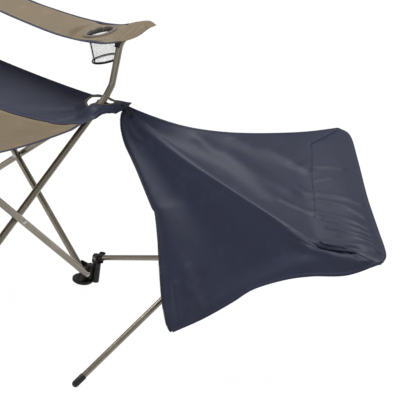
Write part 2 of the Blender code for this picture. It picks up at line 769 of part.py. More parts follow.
def sheet(bm, surface, u_range, v_range, cells_u, cells_v, thickness, crowd=even):
    """Closed thin solid over a patch of a surface(u, v); crowd moves its rows along v."""
    step = surface_step
    tops, bottoms = [], []
    for i in range(cells_u + 1):
        u = u_range[0] + (u_range[1] - u_range[0]) * i / cells_u
        row_top, row_bottom = [], []
        for j in range(cells_v + 1):
            v = v_range[0] + (v_range[1] - v_range[0]) * crowd(j / cells_v)
            spot = surface(u, v)
            du = surface(u + step, v) - surface(u - step, v)
            dv = surface(u, v + step) - surface(u, v - step)
            normal = du.cross(dv).normalized() * (thickness / 2)
            row_top.append(bm.verts.new(spot + normal))
            row_bottom.append(bm.verts.new(spot - normal))
        tops.append(row_top)
        bottoms.append(row_bottom)

    def quad(a, b, c, d):
        bm.faces.new((a, b, c))
        bm.faces.new((a, c, d))

    for i in range(cells_u):
        for j in range(cells_v):
            quad(tops[i][j], tops[i + 1][j], tops[i + 1][j + 1], tops[i][j + 1])
            bm.faces.new((bottoms[i][j], bottoms[i + 1][j + 1], bottoms[i + 1][j]))
            bm.faces.new((bottoms[i][j], bottoms[i][j + 1], bottoms[i + 1][j + 1]))
    for i in range(cells_u):
        quad(tops[i][0], bottoms[i][0], bottoms[i + 1][0], tops[i + 1][0])
        quad(tops[i][-1], tops[i + 1][-1], bottoms[i + 1][-1], bottoms[i][-1])
    for j in range(cells_v):
        quad(tops[0][j], tops[0][j + 1], bottoms[0][j + 1], bottoms[0][j])
        quad(tops[-1][j], bottoms[-1][j], bottoms[-1][j + 1], tops[-1][j + 1])


def strip(bm, surface, outer, inner, thickness, closed):
    """Closed band between two lines of (u, v) points on a surface."""
    step = surface_step
    rows = []
    for (u0, v0), (u1, v1) in zip(outer, inner):
        row = []
        for u, v in ((u0, v0), (u1, v1)):
            spot = surface(u, v)
            du = surface(u + step, v) - surface(u - step, v)
            dv = surface(u, v + step) - surface(u, v - step)
            normal = du.cross(dv).normalized() * (thickness / 2)
            row += [spot + normal, spot - normal]
        rows.append([bm.verts.new(row[k]) for k in (0, 2, 3, 1)])
    count = len(rows)
    for i in range(count if closed else count - 1):
        a, b = rows[i], rows[(i + 1) % count]
        for k in range(4):
            m = (k + 1) % 4
            bm.faces.new((a[k], a[m], b[m]))
            bm.faces.new((a[k], b[m], b[k]))
    if not closed:
        bm.faces.new(rows[0])
        bm.faces.new(rows[-1])


def frame_lines(low, high, hem_u, hem_v, cells_u, cells_v, sides=4, crowd=even):
    """Outer and inner (u, v) lines round a rectangle of the surface."""
    (u0, v0), (u1, v1) = low, high
    outer, inner = [], []
    corners = [(u0, v0, 1, 1), (u1, v0, -1, 1), (u1, v1, -1, -1), (u0, v1, 1, -1)]
    for k in range(sides):
        a, b = corners[k], corners[(k + 1) % 4]
        cells = cells_u if k % 2 == 0 else cells_v
        for i in range(cells):
            t = crowd(i / cells)
            outer.append((a[0] + (b[0] - a[0]) * t, a[1] + (b[1] - a[1]) * t))
            a_in = (a[0] + a[2] * hem_u, a[1] + a[3] * hem_v)
            b_in = (b[0] + b[2] * hem_u, b[1] + b[3] * hem_v)
            inner.append((a_in[0] + (b_in[0] - a_in[0]) * t, a_in[1] + (b_in[1] - a_in[1]) * t))
    return outer, inner


def band(name, surface, lines, look, closed=True, cuts=None):
    bm = bmesh.new()
    strip(bm, surface, lines[0], lines[1], binding_thickness, closed)
    obj = place(name, bm, look)
    if cuts:
        boolean(obj, cuts)
    flat_faces(obj, 50.0)
    return obj


def eased(share):
    share = min(max(share, 0.0), 1.0)
    return share * share * (3 - 2 * share)


def span_distance(spot, start, end):
    """Distance in plan from a spot to a straight run."""
    along = end - start
    share = min(max((spot - start).dot(along) / along.length_squared, 0.0), 1.0)
    return (spot - start - along * share).length


def seat_surface(u, v):
    edge = corner_spacing * seat_edge_share
    inset = corner_spacing * seat_inset_share
    x = u * (edge - inset * (1 - v * v))
    y = v * (edge - inset * (1 - u * u))
    side, front = seat_rise_shares
    height = (seat_floor_share + side * abs(u) ** 3 + front * v ** 2
              - u ** 4 * (seat_side_dip_shares[0] * v ** 2 - seat_side_dip_shares[1] * v ** 6)
              + v ** 4 * (seat_front_dip_shares[0] * u ** 2 - seat_front_dip_shares[1] * abs(u) ** 3)
              + seat_corner_share * u ** 4 * v ** 4)
    z = risen(corner_spacing * height)
    # over the corner pieces and the legs' ends the cloth lies on them
    spot, corner = Vector((abs(x), abs(y))), Vector((half, half))
    plate = pivot - plate_reach
    nose = half + nose_length / math.sqrt(2)
    outside = half + plane_offset
    runs = [((half, half), (plate, half)), ((half, half), (half, plate)), ((half, half), (nose, nose)),
            ((outside, pivot), (outside, plate)), ((pivot, outside), (plate, outside))]
    near = min(span_distance(spot, Vector(a), Vector(b)) for a, b in runs)
    z += max(hub_top + hub_cover - z, 0.0) * (1 - eased((near - hub_cover_reach) / hub_cover_blend))
    return Vector((x, y, z))


hem_share = 0.026
seam_share = 0.0015
seat_seam_share = 0.0032
slot_length = 0.060
slot_width = 0.045
slot_shift = 0.0130
slot_round = 0.0140
slot_short = 0.055


def seat_slots(quarters, margin=0.0):
    """Cutters for the openings round the posts at the seat's corners."""
    made = []
    for index in quarters:
        front = index in (0, 3)
        outline = []
        for i in range(20):
            angle = 2 * math.pi * i / 20
            length = (slot_length if index == 0 else slot_short) / 2 if front else slot_round
            width = slot_width / 2 if front else slot_round
            outline.append(((length + margin) * math.cos(angle), (width + margin) * math.sin(angle)))
        centre = Vector((half - slot_shift, -half + slot_shift, 0)) if front else Vector((half, -half, 0))
        if index == 3:
            centre.x += plane_offset * 2
        frame = (quarter[index] @ Matrix.Translation(centre) @ Matrix.Rotation(math.radians(-45), 4, "Z"))
        made.append(cutter(lambda b, outline=outline, frame=frame: prism(
            b, outline, seat_pivot_height - slot_length, seat_pivot_height + slot_length, frame)))
    return made


def cloth_piece(name, patches, look, thickness, cuts=None, crowd=even):
    bm = bmesh.new()
    for surface, u_range, v_range, cells_u, cells_v in patches:
        sheet(bm, surface, u_range, v_range, cells_u, cells_v, thickness, crowd)
    obj = place(name, bm, look)
    if cuts:
        boolean(obj, cuts)
    flat_faces(obj, 50.0)
    return obj


centre_edge = seat_centre_share
hem = 1 - hem_share
corner_crowd_share = 0.45


def crowd_ends(share):
    return share - corner_crowd_share * math.sin(2 * math.pi * share) / (2 * math.pi)


cloth_piece("seat_centre", [(seat_surface, (-centre_edge + seam_share, centre_edge - seam_share),
                             (-hem + seat_seam_share, hem - seat_seam_share), 8, 14)], "tan", fabric_thickness)
cloth_piece("seat_side_left", [(seat_surface, (centre_edge + seam_share, hem - seat_seam_share),
                                (-hem + seat_seam_share, hem - seat_seam_share), 7, 18)], "navy", fabric_thickness,
            seat_slots((0, 1)), crowd_ends)
cloth_piece("seat_side_right", [(seat_surface, (-hem + seat_seam_share, -centre_edge - seam_share),
                                 (-hem + seat_seam_share, hem - seat_seam_share), 7, 18)], "navy", fabric_thickness,
            seat_slots((2, 3)), crowd_ends)
band("seat_binding", seat_surface, frame_lines((-1, -1), (1, 1), hem_share, hem_share, 18, 18, 4, crowd_ends),
     "navy")

# back
back_low = seat_pivot_height + 0.0343
back_top_gap = 0.021
back_top = post_top_height - back_top_gap
back_sag = 0.050
back_edge_gap = 0.0105
back_corner_drop = 0.018


def back_surface(u, v):
    """u across from right to left, v up."""
    height = back_low + (back_top - back_low) * v
    height -= back_corner_drop * (1 - u * u) * max(v, 0) ** 2
    post = post_point(1, height)
    width = half - back_edge_gap
    sag = back_sag * (1 - u * u) * (0.35 + 0.65 * math.sin(math.pi * min(max(v, 0), 1) * 0.8 + 0.3))
    return Vector((u * width, post.y + sag, height))


cloth_piece("back_centre", [(back_surface, (-centre_edge + seam_share, centre_edge - seam_share),
                             (hem_share, hem), 8, 10)], "tan", fabric_thickness)
cloth_piece("back_side_left", [(back_surface, (centre_edge + seam_share, hem - seam_share),
                                (hem_share, hem), 4, 10)], "navy", fabric_thickness)
cloth_piece("back_side_right", [(back_surface, (-hem + seam_share, -centre_edge - seam_share),
                                 (hem_share, hem), 4, 10)], "navy", fabric_thickness)
band("back_binding", back_surface, frame_lines((-1, 0), (1, 1), hem_share, hem_share - seam_share, 14, 10),
     "navy")
back_sleeve_low = seat_pivot_height + 0.0453
for sense, side_name in ((1, "left"), (-1, "right")):
    bm = bmesh.new()
    start = post_point(sense, back_sleeve_low)
    length = (back_top - back_sleeve_low) / post_lean.z
    inner = leg_radius + fit_gap
    outer = inner + fabric_thickness
    turned_ring(bm, [(inner, 0), (outer, 0), (outer, length), (inner, length)], start, post_lean, 20)
    flat_faces(place("back_sleeve_" + side_name, bm, "navy", start))


# arms
cup_x, cup_y = cup_centre_shares[0] * corner_spacing, cup_centre_shares[1] * corner_spacing
cup_z = risen(cup_centre_shares[2] * corner_spacing)
cup_axis = Vector(cup_axis_share).normalized()
ring_margin = 0.014
ring_blend = 0.020
ring_edge_share = 0.12         # of the arm's width, where its edges leave the flat round the ring
ring_crowd_share, ring_spot_share = 0.60, 0.475


def arm_surface(sense):
    """Arm strip: u from the inner to the outer edge, v from tip to back post, flat round the cup ring."""
    inner, outer = scaled(arm_inner_shares), scaled(arm_outer_shares)

    def surface(u, v):
        a, b = smooth_path(inner, v), smooth_path(outer, v)
        spot = a.lerp(b, u)
        flat = Vector((spot.x - cup_x, spot.y - cup_y, 0))
        height = cup_z - flat.dot(cup_axis) / cup_axis.z
        level = 1 - eased((flat.length - ring_outer - ring_margin) / ring_blend)
        level *= eased(min(u, 1 - u) / ring_edge_share)
        return Vector((sense * spot.x, spot.y, spot.z + (height - spot.z) * level))
    return surface


def crowd_ring(share):
    """Rows close together round the cup ring, and the ends where they were."""
    turn = 2 * math.pi
    wave = math.sin(turn * (share - ring_spot_share)) + math.sin(turn * ring_spot_share)
    return share - ring_crowd_share * wave / turn


arm_hem_share = 0.075
arm_seam_share = 0.014
tip_hem_share = 0.016
ring_lift = fabric_thickness / 2 + fit_gap
for sense, side_name in ((1, "left"), (-1, "right")):
    surface = arm_surface(sense)
    axis = Vector((sense * cup_axis.x, cup_axis.y, cup_axis.z))
    centre = Vector((sense * cup_x, cup_y, cup_z)) + axis * ring_lift
    cloth_piece("arm_" + side_name, [(surface, (arm_hem_share + arm_seam_share, 1 - arm_hem_share
                - arm_seam_share), (tip_hem_share * 1.6, 1 - tip_hem_share * 1.3), 8, 26)], "tan", fabric_thickness,
                [rod_cutter(centre, axis, ring_inner + ring_neck + fit_gap * 2, cup_depth, 20)], crowd_ring)
    band("arm_binding_" + side_name, surface,
         frame_lines((0, 0), (1, 1), arm_hem_share, tip_hem_share, 4, 20), "navy")
    bm = bmesh.new()
    top = ring_inner + ring_neck
    drop = ring_lift * 4
    turned_ring(bm, [(ring_inner, -drop), (top, -drop), (top, 0), (ring_outer, 0),
                     (ring_outer - ring_neck, ring_height), (ring_inner + ring_neck, ring_height),
                     (ring_inner, 0)], centre, axis, 24)
    flat_faces(place("cup_ring_" + side_name, bm, "ring", centre))
    bm = bmesh.new()
    r1, r2 = ring_inner - fit_gap, cup_bottom_radius
    cup_top, cup_floor = -drop - fit_gap, -cup_depth
    r1 = ring_inner + ring_neck
    lathe(bm, [(0, cup_floor), (r2 * 0.5, cup_floor), (r2 - cup_wall, cup_floor), (r2, cup_floor + cup_wall),
               (r1, cup_top), (r1 - cup_wall, cup_top), (r2 - cup_wall * 1.6, cup_floor + cup_wall * 2),
               (r2 * 0.5, cup_floor + cup_wall), (0, cup_floor + cup_wall)], centre, axis, 20)
    hoop = r2
    loop = [(hoop + hoop_radius * math.cos(math.radians(a)), cup_floor + hoop_radius * math.sin(
        math.radians(a))) for a in range(0, 360, 90)]
    cup = place("cup_" + side_name, bm, "mesh", centre)
    hoop_body = cutter(lambda b: turned_ring(b, loop, centre, axis, 20))
    flat_faces(boolean(cup, [hoop_body], "UNION"))

# footrest
rest_ab, rest_bc = scaled(rest_edge_ab_shares), scaled(rest_edge_bc_shares)
rest_dc, rest_ad = scaled(rest_edge_dc_shares), scaled(rest_edge_ad_shares)
corner_a, corner_b, corner_c, corner_d = rest_ab[0], rest_ab[-1], rest_bc[-1], rest_dc[0]
rest_sag = 0.014
rest_fold = 0.010


def rest_surface(u, v):
    """u from the seat corner towards the far right pole, v towards the loose corner."""
    u, v = min(max(u, 0.0), 1.0), min(max(v, 0.0), 1.0)
    if v <= u:
        t = v / u if u > 0 else 0.0
        edge = smooth_path(rest_ab, u)
        far = smooth_path(rest_bc, v) - corner_b.lerp(corner_c, v)
        along = u
    else:
        t = u / v
        edge = smooth_path(rest_ad, v)
        far = smooth_path(rest_dc, u) - corner_d.lerp(corner_c, u)
        along = v
    ridge = corner_a.lerp(corner_c, along)
    spot = edge.lerp(ridge, t) + far * along ** 5
    belly = math.sin(math.pi * t) * math.sin(math.pi * along)
    spot.z -= rest_sag * belly
    if v > u:
        wave = math.sin(math.pi * 3 * t) * math.sin(math.pi * along) * (1 - t)
        spot.x -= rest_fold * wave
        spot.y += rest_fold * wave * 0.5
    return spot


tape_share = 0.014
rest_seam_share = 0.0082
rest_corner_share = 0.040
rest_low, rest_high = tape_share + rest_seam_share, 1 - tape_share - rest_seam_share
cloth_piece("footrest_panel", [(rest_surface, (rest_low, rest_high), (rest_low, rest_high), 14, 14)], "navy",
            fabric_thickness)
cells = 14
band("footrest_zip", rest_surface, (
    [(0, rest_corner_share + i * (1 - rest_corner_share) / cells) for i in range(cells + 1)],
    [(tape_share, rest_corner_share + i * (1 - rest_corner_share) / cells) for i in range(cells + 1)]),
    "tape", False)
rest_outer, rest_inner = [], []
for i in range(cells):
    t = i / cells
    rest_outer.append((rest_corner_share + t * (1 - rest_corner_share), 0))
    rest_inner.append((rest_corner_share + t * (1 - tape_share - rest_corner_share), tape_share))
for i in range(cells):
    t = i / cells
    rest_outer.append((1, t))
    rest_inner.append((1 - tape_share, tape_share + t * (1 - 2 * tape_share)))
zip_edge = tape_share + seam_share
for i in range(cells + 1):
    t = 1 - i / cells
    rest_outer.append((zip_edge + t * (1 - zip_edge), 1))
    rest_inner.append((zip_edge + t * (1 - tape_share - zip_edge), 1 - tape_share))
band("footrest_binding", rest_surface, (rest_outer, rest_inner), "navy", False)

# webbing tab from the footrest's corner to the nose of the front left hub
tab_half_width = 0.0060
tab_start = 0.0064
tab_end_gap = 0.0010
ridge = (corner_c - corner_a).normalized()
tab_end = (rest_surface(rest_low, rest_low) - corner_a).length - tab_end_gap
across = Vector((-ridge.y, ridge.x, 0)).normalized()
frame = Matrix.Identity(4)
for row in range(3):
    frame[row][0], frame[row][1] = ridge[row], across[row]
    frame[row][2], frame[row][3] = ridge.cross(across)[row], corner_a[row]
bm = bmesh.new()
prism(bm, [(tab_start, -tab_half_width), (tab_end, -tab_half_width * 0.8), (tab_end, tab_half_width * 0.8),
           (tab_start, tab_half_width)], -binding_thickness / 2, binding_thickness / 2, frame)
flat_faces(place("footrest_tab", bm, "tape"))
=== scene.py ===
"""Looks of the folding camping chair: tubes, moulded corners, slung cloth, cup holders and footrest."""
import bmesh
import bpy
import json
import math
from bpy.props import FloatProperty, FloatVectorProperty, IntProperty, PointerProperty
from mathutils import Matrix, Vector


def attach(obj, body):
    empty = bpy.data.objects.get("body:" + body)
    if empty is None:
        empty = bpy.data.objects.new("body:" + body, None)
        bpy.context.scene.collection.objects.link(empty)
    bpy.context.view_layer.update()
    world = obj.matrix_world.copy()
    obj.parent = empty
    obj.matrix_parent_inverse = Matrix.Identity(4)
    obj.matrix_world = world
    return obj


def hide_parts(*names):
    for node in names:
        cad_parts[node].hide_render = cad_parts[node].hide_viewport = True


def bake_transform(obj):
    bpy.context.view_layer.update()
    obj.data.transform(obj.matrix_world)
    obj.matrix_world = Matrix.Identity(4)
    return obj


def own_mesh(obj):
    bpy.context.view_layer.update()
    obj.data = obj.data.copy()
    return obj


bl_info = {
    "name": "Folding camping chair",
    "version": (1, 0, 0),
    "blender": (4, 5, 0),
    "location": "View3D > Sidebar > Chair",
    "description": "Builds the cloth, tubes and fittings of a folding camping chair round its packed frame",
    "category": "Add Mesh",
}

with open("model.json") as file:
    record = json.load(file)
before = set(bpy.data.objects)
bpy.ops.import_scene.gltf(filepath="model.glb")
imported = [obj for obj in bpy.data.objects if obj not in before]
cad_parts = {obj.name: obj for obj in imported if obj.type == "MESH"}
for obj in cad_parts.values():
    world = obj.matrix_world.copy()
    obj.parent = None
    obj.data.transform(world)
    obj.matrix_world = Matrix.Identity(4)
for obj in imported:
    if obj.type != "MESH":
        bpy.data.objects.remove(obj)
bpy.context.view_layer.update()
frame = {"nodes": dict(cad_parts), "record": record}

# ---- shape of the frame and its cloth, in metres, or as shares of the corner spacing where a name says so ----
pivot_inset, plane_offset = 0.0285, 0.0095
foot_height, seat_height = 0.0353, 0.4597
overshoot, fit_gap = 0.0065, 0.0003
post_low, post_top, recline = 0.4375, 0.926, 8.0
seat_edge_share, seat_inset_share, seat_floor_share, seat_corner_share = 0.575, 0.060, 0.7350, 0.0389
seat_rise_shares = (0.1310, 0.0574)
seat_side_dip_shares, seat_front_dip_shares = (0.0694, 0.0305), (0.0921, 0.1310)
hub_rise, plate_reach, nose_length = 0.0075, 0.0095, 0.036
hub_cover, hub_cover_reach, hub_cover_blend, hub_cover_inboard = 0.0020, 0.0115, 0.0230, 0.0170
front_droop, front_lift = 0.0110, 0.0060
centre_share = 0.52
back_low, back_high, back_sag, back_gap, back_drop = 0.494, 0.905, 0.050, 0.0105, 0.018
sleeve_low = 0.505
post_bend_shares = [(0.4944, 0.8958), (0.5270, 0.9441), (0.5415, 1.0559), (0.5500, 1.1400), (0.5930, 1.1400)]
arm_post_drops = {1: (0.0075, -0.0118), -1: (0.0012, -0.0181)}
arm_inner_shares = [
    (0.5549, -0.6294, 1.2402), (0.5214, -0.5866, 1.1864), (0.4804, -0.5214, 1.1500),
    (0.4525, -0.4190, 1.1223), (0.4432, -0.2235, 1.1040), (0.4432, 0.0, 1.1076),
    (0.4507, 0.2235, 1.1173), (0.4726, 0.5200, 1.1285),
]
arm_outer_shares = [
    (0.5922, -0.6369, 1.2402), (0.6369, -0.5587, 1.2365), (0.6555, -0.4749, 1.2067),
    (0.6648, -0.3724, 1.1655), (0.6555, -0.1862, 1.1440), (0.6480, 0.0559, 1.1400),
    (0.6294, 0.2607, 1.1490), (0.5300, 0.5200, 1.1397),
]
cup_shares, cup_axis_share = (0.5587, -0.3594, 1.1400), (-0.1850, 0.2710, 0.9450)
ring_outer, ring_inner, ring_margin, ring_blend, ring_edge_share = 0.0420, 0.0305, 0.014, 0.020, 0.12
# folds of the cloth: height, half width, and points on its u, v square
arm_folds = [
    (0.0016, 0.0045, [(0.20, 0.352), (0.55, 0.344), (0.925, 0.324)]),
    (0.0022, 0.0050, [(0.225, 0.296), (0.55, 0.270), (0.875, 0.232)]),
    (-0.0018, 0.0045, [(0.21, 0.322), (0.55, 0.306), (0.90, 0.280)]),
    (0.0018, 0.0045, [(0.30, 0.200), (0.80, 0.190)]),
    (-0.0018, 0.0040, [(0.675, 0.158), (0.35, 0.076)]),
]
rest_folds = [
    (0.0022, 0.0050, [(0.850, 0.306), (0.938, 0.369)]),
    (0.0018, 0.0045, [(0.838, 0.381), (0.888, 0.394)]),
    (0.0028, 0.0050, [(0.831, 0.450), (0.906, 0.506), (0.969, 0.544)]),
    (0.0030, 0.0055, [(0.825, 0.488), (0.913, 0.562), (0.969, 0.619)]),
    (0.0030, 0.0055, [(0.819, 0.562), (0.900, 0.638), (0.969, 0.688)]),
    (0.0024, 0.0050, [(0.835, 0.610), (0.913, 0.690), (0.978, 0.728)]),
    (0.0026, 0.0050, [(0.840, 0.665), (0.915, 0.735), (0.980, 0.760)]),
    (0.0022, 0.0045, [(0.870, 0.735), (0.985, 0.795)]),
    (0.0026, 0.0045, [(0.850, 0.131), (0.913, 0.100), (0.985, 0.035)]),
    (0.0020, 0.0060, [(0.763, 0.256), (0.819, 0.319)]),
    (0.0018, 0.0060, [(0.769, 0.400), (0.806, 0.444)]),
    (0.0022, 0.0070, [(0.700, 0.488), (0.800, 0.556)]),
    (0.0040, 0.0180, [(0.581, 0.050), (0.669, 0.144), (0.788, 0.250)]),
    (0.0045, 0.0200, [(0.537, 0.163), (0.644, 0.331), (0.738, 0.431)]),
    (0.0030, 0.0120, [(0.700, 0.140), (0.819, 0.312)]),
    (0.0050, 0.0240, [(0.419, 0.075), (0.562, 0.269), (0.656, 0.456)]),
    (0.0045, 0.0120, [(0.812, 0.769), (0.875, 0.812), (0.969, 0.844)]),
    (0.0045, 0.0140, [(0.694, 0.725), (0.788, 0.863), (0.831, 0.919), (0.919, 0.972)]),
    (-0.0045, 0.0110, [(0.800, 0.805), (0.830, 0.850), (0.880, 0.895)]),
    (0.0030, 0.0140, [(0.156, 0.688), (0.169, 0.838), (0.169, 0.938)]),
    (0.0035, 0.0100, [(0.088, 0.731), (0.062, 0.913)]),
    (-0.0024, 0.0140, [(0.213, 0.731), (0.144, 0.825)]),
]
ridge_drop, ridge_reach, ridge_bead = 0.040, 0.030, 0.0025
hook_shift = (-0.0125, 0.0045, -0.0125)
# the pocket's seam line on the footrest, drawn as a near-black tape: painted shade along the pocket's raised
# edge
pocket_shade_seam = [(0.850, 0.131), (0.838, 0.256), (0.825, 0.375), (0.819, 0.488), (0.806, 0.590)]
cup_depth, cup_bottom = 0.066, 0.0335
rest_ab_shares = [
    (0.5500, -0.5500, 0.8672), (0.5419, -0.6723, 0.8678), (0.5642, -0.8026, 0.8641),
    (0.6127, -0.9069, 0.8622), (0.6983, -1.0149, 0.8641), (0.8194, -1.1192, 0.8696),
    (0.9646, -1.2216, 0.8790), (1.1173, -1.2942, 0.8883),
]
rest_bc_shares = [
    (1.1173, -1.2942, 0.8883), (1.0909, -1.3677, 0.8848), (0.9071, -1.5116, 0.8688),
    (0.6341, -1.7151, 0.8445), (0.4416, -1.8712, 0.8255), (0.2969, -1.9853, 0.8152),
    (0.2216, -2.0130, 0.8119),
]
rest_dc_shares = [
    (0.0857, -1.2700, 0.2439), (0.1170, -1.3825, 0.3458), (0.1495, -1.4804, 0.4498),
    (0.1715, -1.5499, 0.5292), (0.1898, -1.6624, 0.6105), (0.1950, -1.7673, 0.6676),
    (0.1958, -1.9025, 0.7269), (0.2216, -2.0130, 0.8119),
]
rest_ad_shares = [
    (0.5500, -0.5500, 0.8672), (0.4581, -0.6648, 0.7393), (0.4022, -0.7747, 0.6704),
    (0.3352, -0.9143, 0.5885), (0.3203, -0.9497, 0.5717), (0.2663, -1.0205, 0.4953),
    (0.1974, -1.1024, 0.3948), (0.1453, -1.1676, 0.3184), (0.1024, -1.2309, 0.2607),
    (0.0857, -1.2700, 0.2439),
]
clip_shares = (0.5084, -0.5289, 0.1304)
pole_p_tip_shares = (0.2434, -1.8663, 0.7624)
pole_q_low_shares = (-0.2061, -1.0328, 0.0378)
pole_q_tip_shares = (1.0197, -1.2499, 0.8361)
pole_tilt_clear, cap_radius = 0.0004, 0.0077
# ---- details of the looks, in metres, or as shares of a cloth where a name says so ----
sides = (("left", 1), ("right", -1))
corner_names = ("front_left", "rear_left", "rear_right", "front_right")
# stitching: rows of a seam inside and outside it, of a hem, an arm and a tape, and half the width of a row
seam_rows, seam_outer_row, hem_row, arm_row, tape_row = (0.009, 0.003), 0.0035, 0.012, 0.009, 0.0030
row_half, stitch_share = 0.0006, 0.66
# side cloth over the centre cloth: its lift at the seam, how far that goes, and how low each cloth lies
lap_lift, lap_share, lap_reach, lap_fade, side_sink, centre_sink = 0.0012, 0.03, 0.035, 0.03, 0.0004, 0.0007
cloth_margin_share, post_bend, folded_share = 0.012, 0.028, 0.29
hard_edge, cloth_crease = 38.0, 50.0  # degrees
# rivets: radius and height of a small head and of the noses' heads, and how far heads stand from their middle
small_head, nose_head, nose_rivet_spot = (0.0037, 0.0020), (0.0036, 0.0020), (0.0259, 0.0055, 0.4600)
pole_head_gap, washer_gap, clip_reach = 0.0001, 0.0011, 0.0106
cross_washer, rivet_shank, pole_shank = (0.0062, 0.0012), 0.0025, 0.0019
bore_depth = 0.02
# openings round the posts, by corner: half length, half width, shift from the corner along x and y, degrees
slots = ((0.034, 0.027, -0.0075, 0.0195, -57), (0.014, 0.014, 0, 0, -45), (0.014, 0.014, 0, 0, -45),
         (0.0275, 0.023, -0.013 + 2 * plane_offset, 0.013, -45))
seat_cutter, arm_cutter, cup_hole = (0.38, 0.55), (0.55, 0.70), 0.0325  # heights from and to; a radius
# half width and half height of the tapes, and how far some lie over their cloth
slot_tape, arm_tape, arm_tab_tape, rest_tape = (0.0034, 0.0013), 0.0040, (0.0060, 0.0010), (0.0036, 0.0012)
pocket_shade_tape, zip_tape, corner_tape = (0.0010, 0.0005), (0.0042, 0.0010), (0.0085, 0.0010)
cup_seam, cup_band = (0.0022, 0.0010), 0.0012
slot_tape_lift, pocket_shade_lift, corner_tape_lift = 0.0004, 0.0007, 0.0018
# the cup ring's section: from its inner or its outer radius, by how much, at what height
ring_section = ((True, 0, -0.0040), (True, 0.0012, -0.0040), (True, 0.0014, -0.0002), (False, -0.0006, -0.0002),
                (False, 0, 0.0004), (False, -0.0006, 0.0016), (False, -0.0030, 0.0028), (True, 0.0040, 0.0032),
                (True, 0.0012, 0.0024), (True, 0, 0.0006))
# the arm's flat map, its cloth's size, the height it folds from, and the run of its tape
arm_size, arm_held, arm_anchor = (0.10, 0.60), (0.088, 0.60), 0.61
arm_tape_inset, arm_tape_start, arm_tape_end, arm_tape_far = 0.04, 0.355, 0.27, 0.992
# the footrest's two cloths, where they part, its tapes' ends and margin, and the zip's teeth
near_size, far_size, least_area_share = (0.50, 0.85), (0.52, 0.62), 0.31
rest_split, rest_first, rest_margin, rest_step = 0.35, 0.007, 0.0060, 0.004
tooth, tooth_pitch, tooth_place, tooth_stagger = (0.0028, 0.0024, 0.0013, 1.0), 0.0022, -0.0050, 0.0003
nose_top = 0.0088  # of the corner tab's start over the pivots
# ramps: where a rise starts and how long it is; bands: the same and where it ends and how fast it fades
inboard_ramp, droop_ramp, lift_ramp, hook_ramp = (0.006, 0.02), (0.945, 0.055), (0.80, 0.20), (0.01, 0.15)
ridge_end_ramp, arm_run_ramp, wrinkle_ramp = (0.78, 0.16), (0.6, 0.2), (0.045, 0.05)
droop_band, lift_band, bead_band = (0.60, 0.08, 0.90, 0.08), (0.42, 0.12, 0.56, 0.10), (0.0, 0.1, 0.74, 0.08)
# wrinkles: height against the wrinkle size, waves in radians across u, v, metres or turns, and their reach
corner_waves, corner_wave_height, corner_wave_reach = (11, 23), 0.55, 0.15
side_wave, side_wave_height, side_wave_reach, side_wave_end, side_wave_phases = 58, 0.35, 0.06, 0.24, (1.3, 0.2)
back_wave, back_wave_height, back_wave_reach, back_cross_wave, back_cross_height = (5, 21), 0.7, 0.16, 9, 0.25
arm_wave, arm_wave_height, near_wave, near_wave_height, near_wave_reach = (3, 44), 0.3, 15, 0.35, 0.4
rest_belly, near_sway, bead_reach, hem_reach = 0.014, (0.010, 0.005), 0.028, 0.04
# finishes: scale and detail of each noise, where a wear starts and how sharply it shows, tints, and bump height
tube_rub, tube_speck, tube_cloud, tube_grain, tube_bump = (34, 5), (420, 2), (7, 3), (900, 2), 0.00006
tube_wear, tube_dust, tube_tints = (0.56, 7), (0.66, 12), (0.84, 1.16, 1.7, 0.35)
zinc, dull_zinc = (0.70, 0.69, 0.66), (0.42, 0.40, 0.37)
zinc_spots, zinc_wear, zinc_bump = (240, 4), (0.45, 3), 0.00005
moulding_grain, moulding_rub, moulding_cloud, moulding_bump = (1500, 2), (60, 5), (18, 3), 0.0001
moulding_wear, moulding_tints = (0.55, 6), (0.75, 1.5, 3.6)
slub_noise, cloth_cloud, cloth_fold, cloth_bump = (900, 1), (9, 3), (26, 4), 0.00010
slub_wear, fold_wear, cloth_tints = (0.5, 4), (0.56, 6), (0.84, 1.18, 1.55, 0.6, 1.75, 2.1)
net_cloud, net_thread, net_tints, net_bump = (60, 3), (0.445, 24), (0.8, 1.1), 0.0004
ring_colour, floor_colour, floor_glow = (0.145, 0.125, 0.105), (0.86, 0.86, 0.86), 1.06
# the camera's turn, rise and roll in degrees, and the spot that the lights face
camera_spot, camera_turns, lights_aim = (-1.706, -1.854, 1.353), (-56.701, 23.433, 8.597), (0.05, -0.4, 0.35)
quarter = [Matrix.Rotation(math.radians(90 * i), 4, "Z") for i in range(4)]


def length(name, description, default):
    return FloatProperty(name=name, description=description, default=default, unit="LENGTH")


def tint(name, description, default):
    return FloatVectorProperty(name=name, description=description, default=default, subtype="COLOR",
                               min=0, max=1)


def power(name, description, default):
    return FloatProperty(name=name, description=description, default=default, unit="POWER")


class ChairSizes(bpy.types.PropertyGroup):
    corner_spacing: length("Corner spacing", "Between the corner posts", 0.537)
    leg_diameter: length("Leg tube", "Outside diameter of the leg tubes", 0.016)
    pole_diameter: length("Footrest pole", "Outside diameter of the footrest poles", 0.013)
    tube_wall: length("Tube wall", "Wall of every tube", 0.001)
    cloth: length("Cloth", "Thickness of the woven cloth", 0.0012)
    tape_width: length("Edge tape", "Width of the tape folded over each edge", 0.010)
    wrinkle: length("Wrinkles", "Height of the cloth's wrinkles", 0.0030)
    weave: length("Weave", "Distance between the cloth's threads", 0.0009)
    stitch: length("Stitch", "Length of one stitch and its gap", 0.0042)
    tube_sides: IntProperty(name="Tube sides", description="Sides round each tube", default=28, min=8)


